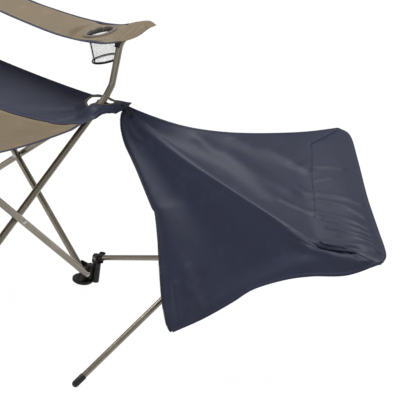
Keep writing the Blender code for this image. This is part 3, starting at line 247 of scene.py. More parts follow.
class ChairColours(bpy.types.PropertyGroup):
    navy: tint("Side cloth", "Colour of the dark cloth", (0.027, 0.032, 0.066))
    tan: tint("Centre cloth", "Colour of the light cloth", (0.235, 0.180, 0.108))
    steel: tint("Tube lacquer", "Colour of the tubes", (0.330, 0.290, 0.232))
    plastic: tint("Plastic", "Colour of the moulded parts", (0.016, 0.014, 0.013))
    tape: tint("Zip tape", "Colour of the zip and the tabs", (0.018, 0.018, 0.022))
    net: tint("Cup net", "Colour of the cup holders' net", (0.95, 0.93, 0.92))


class ChairStage(bpy.types.PropertyGroup):
    key: power("Key light", "Power of the overhead light", 53.0)
    fill: power("Fill light", "Power of the light by the camera", 4.0)
    strip: power("Strip light", "Power of the narrow light at the left", 3.5)
    sky: FloatProperty(name="Sky", description="Strength of the surroundings", default=0.40, min=0)
    lens: FloatProperty(name="Lens", description="Focal length of the camera, in mm", default=103.694)


def sizes():
    return bpy.context.scene.chair_sizes


def colours():
    return bpy.context.scene.chair_colours


def point(shares):
    return Vector(shares) * sizes().corner_spacing


def points(table):
    return [point(row) for row in table]


def half():
    return sizes().corner_spacing / 2


def ease(value):
    value = min(max(value, 0.0), 1.0)
    return value * value * (3 - 2 * value)


def ramp(value, start, run):
    return ease((value - start) / run)


def band(value, start, rise, end, fade):
    return ramp(value, start, rise) * (1 - ramp(value, end, fade))


# ---- shader maths ----
class Wire:
    """A socket that takes part in Python expressions; each operator adds a Math node."""

    def __init__(self, tree, socket):
        self.tree, self.socket = tree, socket

    def maths(self, operation, *values):
        node = self.tree.nodes.new("ShaderNodeMath")
        node.operation = operation
        for slot, value in enumerate(values or (self,)):
            plug(self.tree, value, node.inputs[slot])
        return Wire(self.tree, node.outputs[0])

    def __add__(self, other): return self.maths("ADD", self, other)
    def __sub__(self, other): return self.maths("SUBTRACT", self, other)
    def __mul__(self, other): return self.maths("MULTIPLY", self, other)
    def __truediv__(self, other): return self.maths("DIVIDE", self, other)
    def __lt__(self, other): return self.maths("LESS_THAN", self, other)
    def __rsub__(self, other): return self.maths("SUBTRACT", other, self)
    def __rtruediv__(self, other): return self.maths("DIVIDE", other, self)
    def __abs__(self): return self.maths("ABSOLUTE")
    __radd__, __rmul__ = __add__, __mul__

    def sin(self): return self.maths("SINE")
    def fract(self): return self.maths("FRACT")
    def most(self, other): return self.maths("MAXIMUM", self, other)
    def clamp(self): return self.maths("MINIMUM", self, 1.0).most(0.0)
    def past(self, start, slope): return ((self - start) * slope).clamp()


def plug(tree, value, socket):
    """Links a wire or node output to a socket, or sets the socket to a plain value."""
    value = value.socket if isinstance(value, Wire) else value
    if isinstance(value, bpy.types.NodeSocket):
        tree.links.new(value, socket)
    else:
        socket.default_value = value


class Finish:
    """One material and the means to add nodes to it."""

    def __init__(self, name, colour, roughness, **constants):
        self.material = bpy.data.materials.new(name)
        self.material.use_nodes = True
        self.tree = self.material.node_tree
        self.shader = self.tree.nodes["Principled BSDF"]
        self.shader.inputs["Roughness"].default_value = roughness
        self.shader.inputs["Base Color"].default_value = (*colour, 1.0)
        for socket, value in constants.items():
            self.shader.inputs[socket.replace("_", " ")].default_value = value
        self.material.diffuse_color = (*colour, 1.0)

    def node(self, kind, settings=None, **sockets):
        node = self.tree.nodes.new(kind)
        for key, value in (settings or {}).items():
            setattr(node, key, value)
        for key, value in sockets.items():
            plug(self.tree, value, node.inputs[key.replace("_", " ")])
        return node

    def wire(self, node, output=0):
        return Wire(self.tree, node.outputs[output])

    def noise(self, scale, detail=3.0, stretch=None):
        """Noise on object coordinates; stretch scales the axes one by one."""
        where = self.node("ShaderNodeTexCoord").outputs["Object"]
        if stretch:
            where = self.node("ShaderNodeMapping", Vector=where, Scale=stretch).outputs[0]
        return self.wire(self.node("ShaderNodeTexNoise", Vector=where, Scale=scale, Detail=detail))

    def flat_axes(self):
        """The two coordinates of the piece's own flat map, in metres."""
        place = self.node("ShaderNodeUVMap", {"uv_map": "cloth"}).outputs[0]
        split = self.node("ShaderNodeSeparateXYZ", Vector=place)
        return self.wire(split, 0), self.wire(split, 1)

    def mix(self, factor, first, second):
        node = self.node("ShaderNodeMix", {"data_type": "RGBA"})
        plug(self.tree, factor, node.inputs[0])
        for value, socket in ((first, node.inputs[6]), (second, node.inputs[7])):
            plain = isinstance(value, tuple)
            plug(self.tree, (*value, 1.0) if plain else value, socket)
        return node.outputs[2]

    def colour(self, value):
        plug(self.tree, value, self.shader.inputs["Base Color"])

    def rough(self, value):
        plug(self.tree, value, self.shader.inputs["Roughness"])

    def bump(self, height, distance):
        node = self.node("ShaderNodeBump", Height=height, Distance=distance, Strength=1.0)
        plug(self.tree, node.outputs[0], self.shader.inputs["Normal"])


def shade(colour, factor):
    return tuple(min(c * factor, 1.0) for c in colour)


def shades(colour, factors):
    return (shade(colour, factor) for factor in factors)


def steel_finish(name, colour):
    """Lacquered tube: fine flow marks, faint rubs and a little dust."""
    made = Finish(name, colour, 0.28, Metallic=0.9, Coat_Weight=0.35, Coat_Roughness=0.15)
    dark, light, rubbed, dusty = shades(colour, tube_tints)
    rub, speck = made.noise(*tube_rub, stretch=(1.0, 1.0, 0.25)), made.noise(*tube_speck)
    worn = rub.past(*tube_wear)
    base = made.mix(worn * 0.45, made.mix(made.noise(*tube_cloud), dark, light), rubbed)
    made.colour(made.mix(speck.past(*tube_dust) * 0.5, base, dusty))
    made.rough(0.20 + rub * 0.14 + worn * 0.1)
    made.bump(made.noise(*tube_grain) * 0.6 + rub * 0.4, tube_bump)
    return made.material


def bright_finish(name):
    """Zinc rivet: spun marks and dull spots."""
    made = Finish(name, zinc, 0.3, Metallic=0.95)
    spot = made.noise(*zinc_spots)
    made.colour(made.mix(spot.past(*zinc_wear), zinc, dull_zinc))
    made.rough(0.2 + spot * 0.35)
    made.bump(spot, zinc_bump)
    return made.material


def plastic_finish(name, colour):
    """Moulded black plastic: spark grain, rubbed edges and dust."""
    made = Finish(name, colour, 0.45, Specular_IOR_Level=0.45)
    dark, light, rubbed = shades(colour, moulding_tints)
    grain, rub = made.noise(*moulding_grain), made.noise(*moulding_rub)
    worn = rub.past(*moulding_wear)
    made.colour(made.mix(worn * 0.5, made.mix(made.noise(*moulding_cloud), dark, light), rubbed))
    made.rough(0.36 + grain * 0.12 + worn * 0.2)
    made.bump(grain * 0.6 + rub * 0.4, moulding_bump)
    return made.material


def cloth_finish(name, colour, width=None, length=None, across=(), edges=(), ribs=False, worn=1.0):
    """Woven polyester on the piece's flat map: plain weave, stitch rows and faded folds.

    across: stitch rows at these distances from the map's centre line. edges: rows this far in from the
    cut edges of a cloth of this width and length."""
    made = Finish(name, colour, 0.5, Sheen_Weight=0.04, Sheen_Roughness=0.4, Specular_IOR_Level=0.36)
    u, v = made.flat_axes()
    pitch, stitch = sizes().weave, sizes().stitch
    if ribs:
        weave = (v * (math.tau / (pitch * 2.2))).sin() * 0.5 + 0.5
    else:
        weave = ((u * (math.tau / pitch)).sin() * (v * (math.tau / pitch)).sin()) * 0.5 + 0.5
    slub = made.noise(*slub_noise, (0.12, 1.0, 1.0)) * 0.5 + made.noise(*slub_noise, (1.0, 0.12, 1.0)) * 0.5
    dark, light, bright, hollow, faded, sewn = shades(colour, cloth_tints)
    base = made.mix(made.noise(*cloth_cloud), dark, light)
    base = made.mix(slub.past(*slub_wear) * 0.5, base, bright)
    base = made.mix(weave * 0.35, base, hollow)
    base = made.mix(made.noise(*cloth_fold).past(*fold_wear) * 0.28 * worn, base, faded)
    rows = [(u, v, place) for place in across]
    for axis, other, extent in ((u, v, width), (v, u, length)):
        rows += [(axis, other, extent / 2 - inset) for inset in edges if extent]
    thread, height = None, weave * 0.5 + slub * 0.3
    for axis, other, place in rows:
        row = (abs(abs(axis) - place) < row_half) * ((other / stitch).fract() < stitch_share)
        thread = row if thread is None else thread.most(row)
    if thread is not None:
        base = made.mix(thread * 0.8, base, sewn)
        height = height + thread * 1.6
    made.colour(base)
    made.rough(0.42 + slub * 0.16)
    made.bump(height, cloth_bump)
    return made.material


def net_finish(name, colour, pitch):
    """Open net of white thread in slanted cells round a cup, its holes cut by alpha."""
    made = Finish(name, colour, 0.8, Sheen_Weight=0.2)
    x, y = made.flat_axes()
    a, b = ((x + y) * (1 / pitch)).fract(), ((x - y) * (1 / pitch)).fract()
    cell = abs(a - 0.5).most(abs(b - 0.5))
    made.colour(made.mix(made.noise(*net_cloud), *shades(colour, net_tints)))
    plug(made.tree, cell.past(*net_thread), made.shader.inputs["Alpha"])
    made.bump((cell * 3).clamp(), net_bump)
    return made.material


# ---- modelling ----
def linked(name, bm, finishes=()):
    """The bmesh as a new object in the scene."""
    mesh = bpy.data.meshes.new(name)
    bm.to_mesh(mesh)
    bm.free()
    for finish in finishes:
        mesh.materials.append(finish)
    made = bpy.data.objects.new(name, mesh)
    bpy.context.scene.collection.objects.link(made)
    return made


def piece(name, bm, finishes, body=None, replaces=(), sharp=35.0, flat=False):
    """Makes the finished object of a bmesh and hangs it on its body."""
    bm.normal_update()
    made = linked(name, bm, finishes)
    if not flat:
        made.data.shade_smooth()
        made.data.set_sharp_from_angle(angle=math.radians(sharp))
    if body:
        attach(made, body)
    if replaces:
        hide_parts(*replaces)
    return made


def settle(made, bodies, node, replaced=True):
    """Hangs a piece on a body; given two bodies, a start and an end, it only bakes its place into its mesh.

    It replaces the node too, unless replaced is False."""
    if isinstance(bodies, str):
        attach(made, bodies)
    else:
        first, second, start, end = bodies
        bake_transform(made)
        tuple(start)
        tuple(end)
    if replaced:
        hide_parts(node)


def map_flat(bm, spread):
    """Writes the flat map: spread gives the place of a face's loop on it, in metres."""
    layer = bm.loops.layers.uv.new("cloth")
    for face in bm.faces:
        for loop in face.loops:
            loop[layer].uv = spread(face, loop)


def frames_along(path, wide=None, closed=False):
    """Frames down a path: z runs forward, x across; wide gives the across direction at each point."""
    frames, across, count = [], None, len(path)
    for i, spot in enumerate(path):
        before = path[i - 1] if i or closed else spot
        after = path[(i + 1) % count] if i < count - 1 or closed else spot
        forward = (after - before).normalized()
        across = wide[i] if wide else (across or forward.orthogonal())
        across = (across - forward * across.dot(forward)).normalized()
        turn = Matrix((across, forward.cross(across), forward)).transposed().to_4x4()
        turn.translation = spot
        frames.append(turn)
    return frames


def grow(bm, edges, matrix):
    """Extrudes a ring of edges, moves the new ring and returns its edges."""
    grown = bmesh.ops.extrude_edge_only(bm, edges=edges)["geom"]
    new = {item for item in grown if isinstance(item, bmesh.types.BMVert)}
    bmesh.ops.transform(bm, matrix=matrix, verts=list(new))
    return [item for item in grown if isinstance(item, bmesh.types.BMEdge) and set(item.verts) <= new]


def sweep(bm, frames, half_width, half_height=None, segments=20, closed=False, bore=0.0):
    """Round or flat section drawn along frames; open ends are closed, or bored out where bore is given."""
    ring = bmesh.ops.create_circle(bm, segments=segments, radius=1.0)["verts"]
    size = Matrix.Diagonal((half_width, half_height or half_width, 1.0, 1.0))
    bmesh.ops.transform(bm, matrix=frames[0] @ size, verts=ring)
    first = edges = bm.edges[:]
    for a, b in zip(frames, frames[1:]):
        edges = grow(bm, edges, b @ a.inverted())
    if closed:
        bmesh.ops.bridge_loops(bm, edges=first + edges)
    else:
        for loop, place, inward in ((first, frames[0], 1), (edges, frames[-1], -1)):
            for scale, push in ((bore / half_width, 0.0), (1.0, inward * bore_depth)) if bore else ():
                size = Matrix.Diagonal((scale, scale, 1.0, 1.0))
                size.translation = (0, 0, push)
                loop = grow(bm, loop, place @ size @ place.inverted())
            bmesh.ops.edgeloop_fill(bm, edges=loop)
    bmesh.ops.recalc_face_normals(bm, faces=bm.faces)


def rounded(path, radius, steps=6):
    """The path with its inner corners rounded."""
    path = [Vector(p) for p in path]
    made = [path[0]]
    for before, corner, after in zip(path, path[1:], path[2:]):
        a, b = before - corner, after - corner
        cut = min(radius / math.tan(a.angle(b) / 2), 0.49 * a.length, 0.49 * b.length)
        start, end = corner + a.normalized() * cut, corner + b.normalized() * cut
        for i in range(steps + 1):
            t = i / steps
            made.append(start.lerp(corner, t).lerp(corner.lerp(end, t), t))
    return made + [path[-1]]


def turned(bm, profile, base, direction, segments=32, closed=False):
    """Profile of (radius, height) pairs turned round a line."""
    before = set(bm.verts)
    line = [bm.verts.new((r, 0, z)) for r, z in profile]
    edges = [bm.edges.new(pair) for pair in zip(line, line[1:] + (line[:1] if closed else []))]
    bmesh.ops.spin(bm, geom=line + edges, cent=(0, 0, 0), axis=(0, 0, 1), dvec=(0, 0, 0), angle=math.tau,
                   steps=segments, use_merge=True, use_duplicate=False)
    bmesh.ops.remove_doubles(bm, verts=[v for v in bm.verts if v not in before], dist=1e-6)
    new = [v for v in bm.verts if v not in before]
    turn = Vector(direction).to_track_quat("Z", "Y").to_matrix().to_4x4()
    bmesh.ops.transform(bm, matrix=Matrix.Translation(base) @ turn, verts=new)
    bmesh.ops.recalc_face_normals(bm, faces=list({f for v in new for f in v.link_faces}))


def disc(bm, radius, reach, centre, axis, segments=16):
    """Pin or washer round a line, from -reach to reach along it."""
    turned(bm, [(0, -reach), (radius, -reach), (radius, reach), (0, reach)], centre, axis, segments)


def domed_rivet(bm, spot, outward, radius=0.0049, height=0.0022):
    """Domed rivet head with a thin washer under it."""
    profile = [(0, height), (radius * 0.35, height * 0.96), (radius * 0.66, height * 0.78),
               (radius * 0.88, height * 0.48), (radius, height * 0.2), (radius, height * 0.12),
               (radius * 1.22, height * 0.12), (radius * 1.24, -0.0002), (0, -0.0002)]
    turned(bm, profile, spot, outward, 20)


def dressed(node, bevel, segments):
    """A copy of a frame node as a bmesh, merged, with its hard edges rounded."""
    bm = bmesh.new()
    bm.from_mesh(frame["nodes"][node].data)
    bmesh.ops.remove_doubles(bm, verts=bm.verts, dist=1e-5)
    bmesh.ops.dissolve_limit(bm, angle_limit=math.radians(1.5), verts=bm.verts, edges=bm.edges)
    hard = [e for e in bm.edges if e.is_manifold and e.calc_face_angle(0) > math.radians(hard_edge)]
    bmesh.ops.bevel(bm, geom=hard, offset=bevel, segments=segments, profile=0.5, affect="EDGES",
                    clamp_overlap=True, material=-1)
    return bm


def tube(node, path, radius, finish, body):
    """An open tube along a path, in place of a node."""
    bm = bmesh.new()
    sweep(bm, frames_along(path), radius, segments=sizes().tube_sides, bore=radius - sizes().tube_wall)
    piece("tube_" + node.removeprefix("post_"), bm, [finish], body, [node], 50)


def rivet_pair(bm, centre, aim, reach, *head):
    """Two domed rivets, this far to either side of a place."""
    for sense in (-1, 1):
        domed_rivet(bm, centre + aim * (sense * reach), aim * sense, *head)


def round_path(count, radius, x=0.0, y=0.0, height=0.0):
    """Points of a level circle."""
    return [Vector((x + radius * math.cos(a), y + radius * math.sin(a), height))
            for a in (math.tau * i / count for i in range(count))]


def scaled(width, height, middle=0.0):
    """A flat map that stretches the u, v square to this size in metres."""
    return lambda u, v: ((u - middle) * width, (v - middle) * height)


def cloth_patch(name, place, u_range, v_range, cells, flat, finishes, cuts=(), lines=(), keep=None):
    """Cloth over a patch of place(u, v), with its flat map flat(u, v) in metres.

    cuts are the cutters of its openings. lines are cuts across the u, v square as (point, normal);
    keep picks the faces that stay by u and v."""
    bm = bmesh.new()
    bmesh.ops.create_grid(bm, x_segments=cells[0], y_segments=cells[1], size=0.5)
    low, high = Vector((u_range[0], v_range[0], 0)), Vector((u_range[1], v_range[1], 0))
    fit = Matrix.Diagonal((high.x - low.x, high.y - low.y, 1.0, 1.0))
    fit.translation = (low + high) / 2
    bmesh.ops.transform(bm, matrix=fit, verts=bm.verts)
    for spot, across in lines:
        everything = bm.verts[:] + bm.edges[:] + bm.faces[:]
        bmesh.ops.bisect_plane(bm, geom=everything, plane_co=spot, plane_no=across, dist=1e-5)
    if keep:
        gone = [f for f in bm.faces if not keep(*f.calc_center_median().xy)]
        bmesh.ops.delete(bm, geom=gone, context="FACES")
    map_flat(bm, lambda face, loop: flat(*loop.vert.co.xy))
    for vert in bm.verts:
        vert.co = place(*vert.co.xy)
    bmesh.ops.recalc_face_normals(bm, faces=bm.faces)
    made = linked(name, bm, finishes)
    thick = made.modifiers.new("thickness", "SOLIDIFY")
    thick.thickness, thick.offset = sizes().cloth, 0.0
    for cutter in cuts:
        step = made.modifiers.new("cut", "BOOLEAN")
        step.object, step.operation, step.solver = cutter, "DIFFERENCE", "EXACT"
    bpy.context.view_layer.update()
    graph = bpy.context.evaluated_depsgraph_get()
    made.data = bpy.data.meshes.new_from_object(made.evaluated_get(graph))
    made.modifiers.clear()
    made.data.shade_smooth()
    made.data.set_sharp_from_angle(angle=math.radians(cloth_crease))
    return made


def edge_tape(name, path, wide, finishes, closed=False, half_width=None, half_height=0.0014):
    """Tape folded over a cloth edge: a flat rounded section along the edge, with its own flat map."""
    bm, ring = bmesh.new(), 12
    frames = frames_along(path, wide, closed)
    sweep(bm, frames, half_width or sizes().tape_width / 2, half_height, ring, closed)
    lengths = [0.0]
    for a, b in zip(path, path[1:]):
        lengths.append(lengths[-1] + (b - a).length)
    order = {v: i for i, v in enumerate(bm.verts)}

    def spread(face, loop):
        i = min(order[loop.vert] // ring, len(path) - 1)
        return (frames[i].inverted() @ loop.vert.co).x, lengths[i]

    map_flat(bm, spread)
    return piece(name, bm, finishes, sharp=60)


def cutter_from(outline, low, high):
    """Upright prism used to cut cloth, removed after use."""
    bm = bmesh.new()
    ring = bmesh.ops.create_circle(bm, cap_ends=True, segments=len(outline), radius=1.0)["verts"]
    for vert, spot in zip(ring, outline):
        vert.co = (spot.x, spot.y, low)
    grown = bmesh.ops.extrude_face_region(bm, geom=bm.faces[:])["geom"]
    new = [item for item in grown if isinstance(item, bmesh.types.BMVert)]
    bmesh.ops.translate(bm, verts=new, vec=(0, 0, high - low))
    bmesh.ops.recalc_face_normals(bm, faces=bm.faces)
    made = linked("cutter", bm)
    made.hide_render = True
    return made


def drop_cutters(cutters):
    for cutter in cutters:
        bpy.data.objects.remove(cutter, do_unlink=True)


def smooth_path(path, share):
    """Catmull-Rom point at a share of the way along the points."""
    count = len(path) - 1
    spot = min(max(share, 0.0), 1.0) * count
    i = min(int(spot), count - 1)
    t = spot - i
    p1, p2 = path[i], path[i + 1]
    p0 = path[i - 1] if i else p1 * 2 - p2
    p3 = path[i + 2] if i + 2 <= count else p2 * 2 - p1
    return (p1 * 2 + (p2 - p0) * t + (p0 * 2 - p1 * 5 + p2 * 4 - p3) * t * t
            + (p1 * 3 - p0 - p2 * 3 + p3) * t * t * t) / 2


# ---- the chair's surfaces ----
def span_distance(spot, start, end):
    """Distance from a spot to a straight run."""
    along = end - start
    share = min(max((spot - start).dot(along) / along.length_squared, 0.0), 1.0)
    return (spot - start - along * share).length


def creases(table, size, u, v):
    """Height of a table's folds at u, v of a cloth of this size."""
    spot, total = Vector((u * size[0], v * size[1])), 0.0
    for height, width, line in table:
        line = [Vector((a * size[0], b * size[1])) for a, b in line]
        near = min(span_distance(spot, a, b) for a, b in zip(line, line[1:]))
        if near < 3 * width:
            total += height * math.exp(-(near / width) ** 2)
    return total


def seat_plan(u, v):
    edge, inset = sizes().corner_spacing * seat_edge_share, sizes().corner_spacing * seat_inset_share
    return u * (edge - inset * (1 - v * v)), v * (edge - inset * (1 - u * u))


def seat_shares_at(x, y):
    """The seat's u and v at a place in plan."""
    edge, inset = sizes().corner_spacing * seat_edge_share, sizes().corner_spacing * seat_inset_share
    u, v = x / edge, y / edge
    for _ in range(12):
        u, v = x / (edge - inset * (1 - v * v)), y / (edge - inset * (1 - u * u))
    return u, v


def seat_spot(u, v):
    """The seat's middle surface, lying on the corner pieces and the legs' ends at its corners."""
    x, y = seat_plan(u, v)
    height = (seat_floor_share + seat_rise_shares[0] * abs(u) ** 3 + seat_rise_shares[1] * v ** 2
              - u ** 4 * (seat_side_dip_shares[0] * v ** 2 - seat_side_dip_shares[1] * v ** 6)
              + v ** 4 * (seat_front_dip_shares[0] * u ** 2 - seat_front_dip_shares[1] * abs(u) ** 3)
              + seat_corner_share * u ** 4 * v ** 4)
    z, corner, spot = sizes().corner_spacing * height, half(), Vector((abs(x), abs(y)))
    pivot, outside = corner - pivot_inset, corner + plane_offset
    plate, nose = pivot - plate_reach, corner + nose_length / math.sqrt(2)
    runs = [((corner, corner), (plate, corner)), ((corner, corner), (corner, plate)),
            ((corner, corner), (nose, nose)), ((outside, pivot), (outside, plate)),
            ((pivot, outside), (plate, outside))]
    near = min(span_distance(spot, Vector(a), Vector(b)) for a, b in runs)
    lift = max(seat_height + hub_rise + hub_cover - z, 0.0)
    blend = hub_cover_blend + hub_cover_inboard * ramp(corner - spot.x, *inboard_ramp)
    z += lift * (1 - ease((near - hub_cover_reach) / blend))
    if v < 0:
        over = ramp(abs(v), *droop_ramp) * band(abs(u), *droop_band)
        rise = ramp(abs(v), *lift_ramp) * band(abs(u), *lift_band)
        z += front_lift * rise - front_droop * over
    return Vector((x, y, z))


def seat_folds(x, y):
    """Wrinkles that run in from the four corners, and slack ripples by the side edges."""
    height, corner = 0.0, half()
    for i, (side, end) in enumerate(((1, -1), (1, 1), (-1, 1), (-1, -1))):
        dx, dy = x - side * corner, y - end * corner
        away = math.hypot(dx, dy)
        turn = math.atan2(dy, dx)
        reach = corner_wave_height * ramp(away, *wrinkle_ramp) * math.exp(-away / corner_wave_reach)
        wide, fine = corner_waves
        height += reach * (math.sin(wide * turn + i * 1.7) + corner_wave_height * math.sin(fine * turn + i))
    near_side = side_wave_height * math.exp(-(corner + 0.02 - abs(x)) / side_wave_reach)
    wave = math.sin(y * side_wave + side_wave_phases[x <= 0])
    return height + near_side * wave * ease(1 - abs(y) / side_wave_end)


def seat_cloth(u, v, lift=0.0):
    edge = min(1 - abs(u), 1 - abs(v))
    spot = seat_spot(u, v)
    spot.z += sizes().wrinkle * seat_folds(spot.x, spot.y) * ease(edge / 0.12) + lift
    return spot


def back_cloth(u, v, lift=0.0):
    """u across from right to left, v up."""
    height = back_low + (back_high - back_low) * v - back_drop * (1 - u * u) * max(v, 0) ** 2
    post = back_post(1, height)
    sag = back_sag * (1 - u * u) * (0.35 + 0.65 * math.sin(math.pi * min(max(v, 0), 1) * 0.8 + 0.3))
    edge = min(1 - abs(u), v, 1 - v)
    wave = math.sin(v * back_wave[1] + abs(u) * back_wave[0])
    folds = wave * math.exp(-(1 - abs(u)) / back_wave_reach) * back_wave_height
    folds += math.sin((u * 1.3 + v) * back_cross_wave) * back_cross_height
    wrinkles = sizes().wrinkle * folds * ease(edge / 0.1)
    return Vector((u * (half() - back_gap), post.y + sag + wrinkles - lift, height))


def back_post(sense, height):
    lean = Vector((0, math.sin(math.radians(recline)), math.cos(math.radians(recline))))
    return Vector((sense * half(), half(), seat_height)) + lean * ((height - seat_height) / lean.z)


def cup_axis(sense):
    x, y, z = cup_axis_share
    return Vector((sense * x, y, z)).normalized()


def arm_cloth(sense, folds=True):
    """An arm's surface: u from its inner to its outer edge, v from tip to back post, flat round the cup."""
    inner, outer = points(arm_inner_shares), points(arm_outer_shares)
    cup, axis = point(cup_shares), cup_axis(1)

    def place(u, v, lift=0.0):
        spot = smooth_path(inner, v).lerp(smooth_path(outer, v), u)
        flat = Vector((spot.x - cup.x, spot.y - cup.y, 0))
        level = 1 - ease((flat.length - ring_outer - ring_margin) / ring_blend)
        level *= ease(min(u, 1 - u) / ring_edge_share)
        spot.z += (cup.z - flat.dot(axis) / axis.z - spot.z) * level
        if folds:
            run = math.sin(v * arm_wave[1] + u * arm_wave[0]) * arm_wave_height * ramp(v, *arm_run_ramp)
            fade = ease(min(u, 1 - u) / 0.12) * (1 - level)
            spot.z += (sizes().wrinkle * run + creases(arm_folds, (0.10, 0.33), u, v)) * fade
        return Vector((sense * spot.x, spot.y, spot.z + lift))
    return place


class Footrest:
    """The hanging footrest cloth: u towards the far pole's corner, v towards the loose corner."""

    def __init__(self):
        self.ab, self.bc = points(rest_ab_shares), points(rest_bc_shares)
        self.dc, self.ad = points(rest_dc_shares), points(rest_ad_shares)
        self.a, self.b, self.c, self.d = self.ab[0], self.ab[-1], self.bc[-1], self.dc[0]
        self.ridge = (self.c - self.a).normalized()

    def drop(self, along):
        """How far the ridge sags under the straight line between its ends."""
        return ridge_drop * (1 - (1 - along) ** 5) * (1 - ramp(along, *ridge_end_ramp))

    def plain(self, u, v):
        """The cloth without its wrinkles, its ridge rounded."""
        reach = min(ridge_reach, 0.35 * max(u, v))
        if abs(u - v) >= 2 * reach or reach < 0.002:
            return self.creased(u, v)
        total = Vector()
        for part, weight in ((-1.0, 1), (-0.5, 2), (0.0, 3), (0.5, 2), (1.0, 1)):
            total += self.creased(u + reach * part, v - reach * part) * weight
        return self.creased(u, v).lerp(total / 9, ease(min(1 - u, 1 - v, u, v) / 0.03))

    def creased(self, u, v):
        u, v = min(max(u, 0.0), 1.0), min(max(v, 0.0), 1.0)
        if v <= u:
            t = v / u if u > 0 else 0.0
            edge, along = smooth_path(self.ab, u), u
            far = smooth_path(self.bc, v) - self.b.lerp(self.c, v)
        else:
            t = u / v
            edge, along = smooth_path(self.ad, v), v
            far = smooth_path(self.dc, u) - self.d.lerp(self.c, u)
        ridge = self.a.lerp(self.c, along) - Vector((0, 0, self.drop(along)))
        spot = edge.lerp(ridge, t) + far * along ** 5
        belly = math.sin(math.pi * t) * math.sin(math.pi * along)
        spot.z -= rest_belly * belly
        if v > u:
            wave = math.sin(math.pi * 3 * t) * math.sin(math.pi * along) * (1 - t)
            spot.x -= near_sway[0] * wave
            spot.y += near_sway[1] * wave
            spot += Vector(hook_shift) * ((1 - t) * (1 - ramp(v, *hook_ramp)))
        return spot

    def folds(self, u, v):
        height = creases(rest_folds, (0.50, 0.60), u, v)
        height += ridge_bead * math.exp(-((u - v) / bead_reach) ** 2) * band(u, *bead_band)
        if v > u:
            t = u / v
            wave = math.sin(t * near_wave + 1.0) * math.exp(-v / near_wave_reach)
            height += sizes().wrinkle * near_wave_height * wave
        return height * ease(min(u, v, 1 - u, 1 - v) / hem_reach)

    def cloth(self, u, v, lift=0.0):
        spot, step = self.plain(u, v), rest_step
        du = self.plain(u + step, v) - self.plain(u - step, v)
        dv = self.plain(u, v + step) - self.plain(u, v - step)
        normal = dv.cross(du)
        if normal.length < 1e-12:
            return spot
        return spot + normal.normalized() * (self.folds(u, v) + lift)

    def path(self, line, lift=0.0):
        return [self.cloth(u, v, lift) for u, v in line]

    def wide(self, line, upright=False):
        """Directions across a line of u, v points: along v where the line runs along u, or else along u."""
        du, dv = (0.0, rest_step) if upright else (rest_step, 0.0)
        return [self.cloth(u + du, v + dv) - self.cloth(u - du, v - dv) for u, v in line]

    def flat(self, u, v):
        spot = self.plain(u, v) - self.a
        along = spot.dot(self.ridge)
        across = (spot - self.ridge * along).length
        return (across if v <= u else -across, along)


# ---- operators ----
class ChairStep(bpy.types.Operator):
    bl_options = {"REGISTER"}


def leg_paths():
    """Every straight or bent tube of the legs: its name, which is also its body's, and its centre line."""
    made = []
    spacing, corner = sizes().corner_spacing, half()
    pivot = corner - pivot_inset
    for side, turn in zip(("front", "left", "rear", "right"), quarter):
        for kind, sense, offset in (("outer", -1, -plane_offset), ("inner", 1, plane_offset)):
            low = Vector((-sense * pivot, -corner + offset, foot_height))
            high = Vector((sense * pivot, -corner + offset, seat_height))
            along = (high - low).normalized()
            if side == "front":
                drops = (0.0, 0.0, 0.0, *arm_post_drops[sense])
                bends = [Vector((sense * x * spacing, low.y, z * spacing - drop))
                         for (x, z), drop in zip(post_bend_shares, drops)]
                path = rounded([low - along * overshoot] + bends, post_bend)
            else:
                path = [low - along * overshoot, high + along * overshoot]
            made.append((f"leg_{side}_{kind}", [turn @ p for p in path]))
    return made


def pole_lines():
    """Both footrest poles with their crossing, as the frame has them."""
    clip, p_tip = point(clip_shares), point(pole_p_tip_shares)
    q_low, q_tip = point(pole_q_low_shares), point(pole_q_tip_shares)
    p_along, q_along = (p_tip - clip).normalized(), (q_tip - q_low).normalized()
    axis = p_along.cross(q_along).normalized()
    if axis.z < 0:
        axis = -axis
    side = q_along.cross(axis)
    cross = clip + p_along * ((q_low - clip).dot(side) / p_along.dot(side))
    near = q_low + q_along * q_along.dot(cross - q_low)
    push = axis * ((cross - near).dot(axis) - (sizes().pole_diameter + pole_tilt_clear))
    q_low, q_tip, near = q_low + push, q_tip + push, near + push
    return clip, p_tip, p_along, q_low, q_tip, q_along, cross, near, axis


class TubesStep(ChairStep):
    """Legs, arm posts and back posts as round drawn tubes"""
    bl_idname = "chair.tubes"
    bl_label = "Leg and post tubes"

    def execute(self, context):
        radius = sizes().leg_diameter / 2
        finish = steel_finish("tube_lacquer", tuple(colours().steel))
        for name, path in leg_paths():
            tube(name, path, radius, finish, name)
        for side, sense in sides:
            path = [back_post(sense, post_low), back_post(sense, post_top)]
            tube("post_back_" + side, path, radius, finish, "hub_rear_" + side)
        return {"FINISHED"}


class PolesStep(ChairStep):
    """The two crossed footrest poles with their rivet"""
    bl_idname = "chair.poles"
    bl_label = "Footrest poles"

    def execute(self, context):
        radius = sizes().pole_diameter / 2
        finish = steel_finish("pole_lacquer", tuple(colours().steel))
        clip, p_tip, p_along, q_low, q_tip, q_along, cross, near, axis = pole_lines()
        for name, low, tip, along in (("pole_left", clip, p_tip, p_along),
                                      ("pole_right", q_low, q_tip, q_along)):
            tube(name, [low + along * cap_radius, tip], radius, finish, name)
        bm = bmesh.new()
        reach, centre = (cross - near).length / 2 + radius, (cross + near) / 2
        rivet_pair(bm, centre, axis, reach + pole_head_gap, *small_head)
        disc(bm, pole_shank, reach, centre, axis)
        piece("pole_rivet", bm, [bright_finish("pole_rivet_zinc")], "pole_left", ["rivet_poles"], 40)
        return {"FINISHED"}


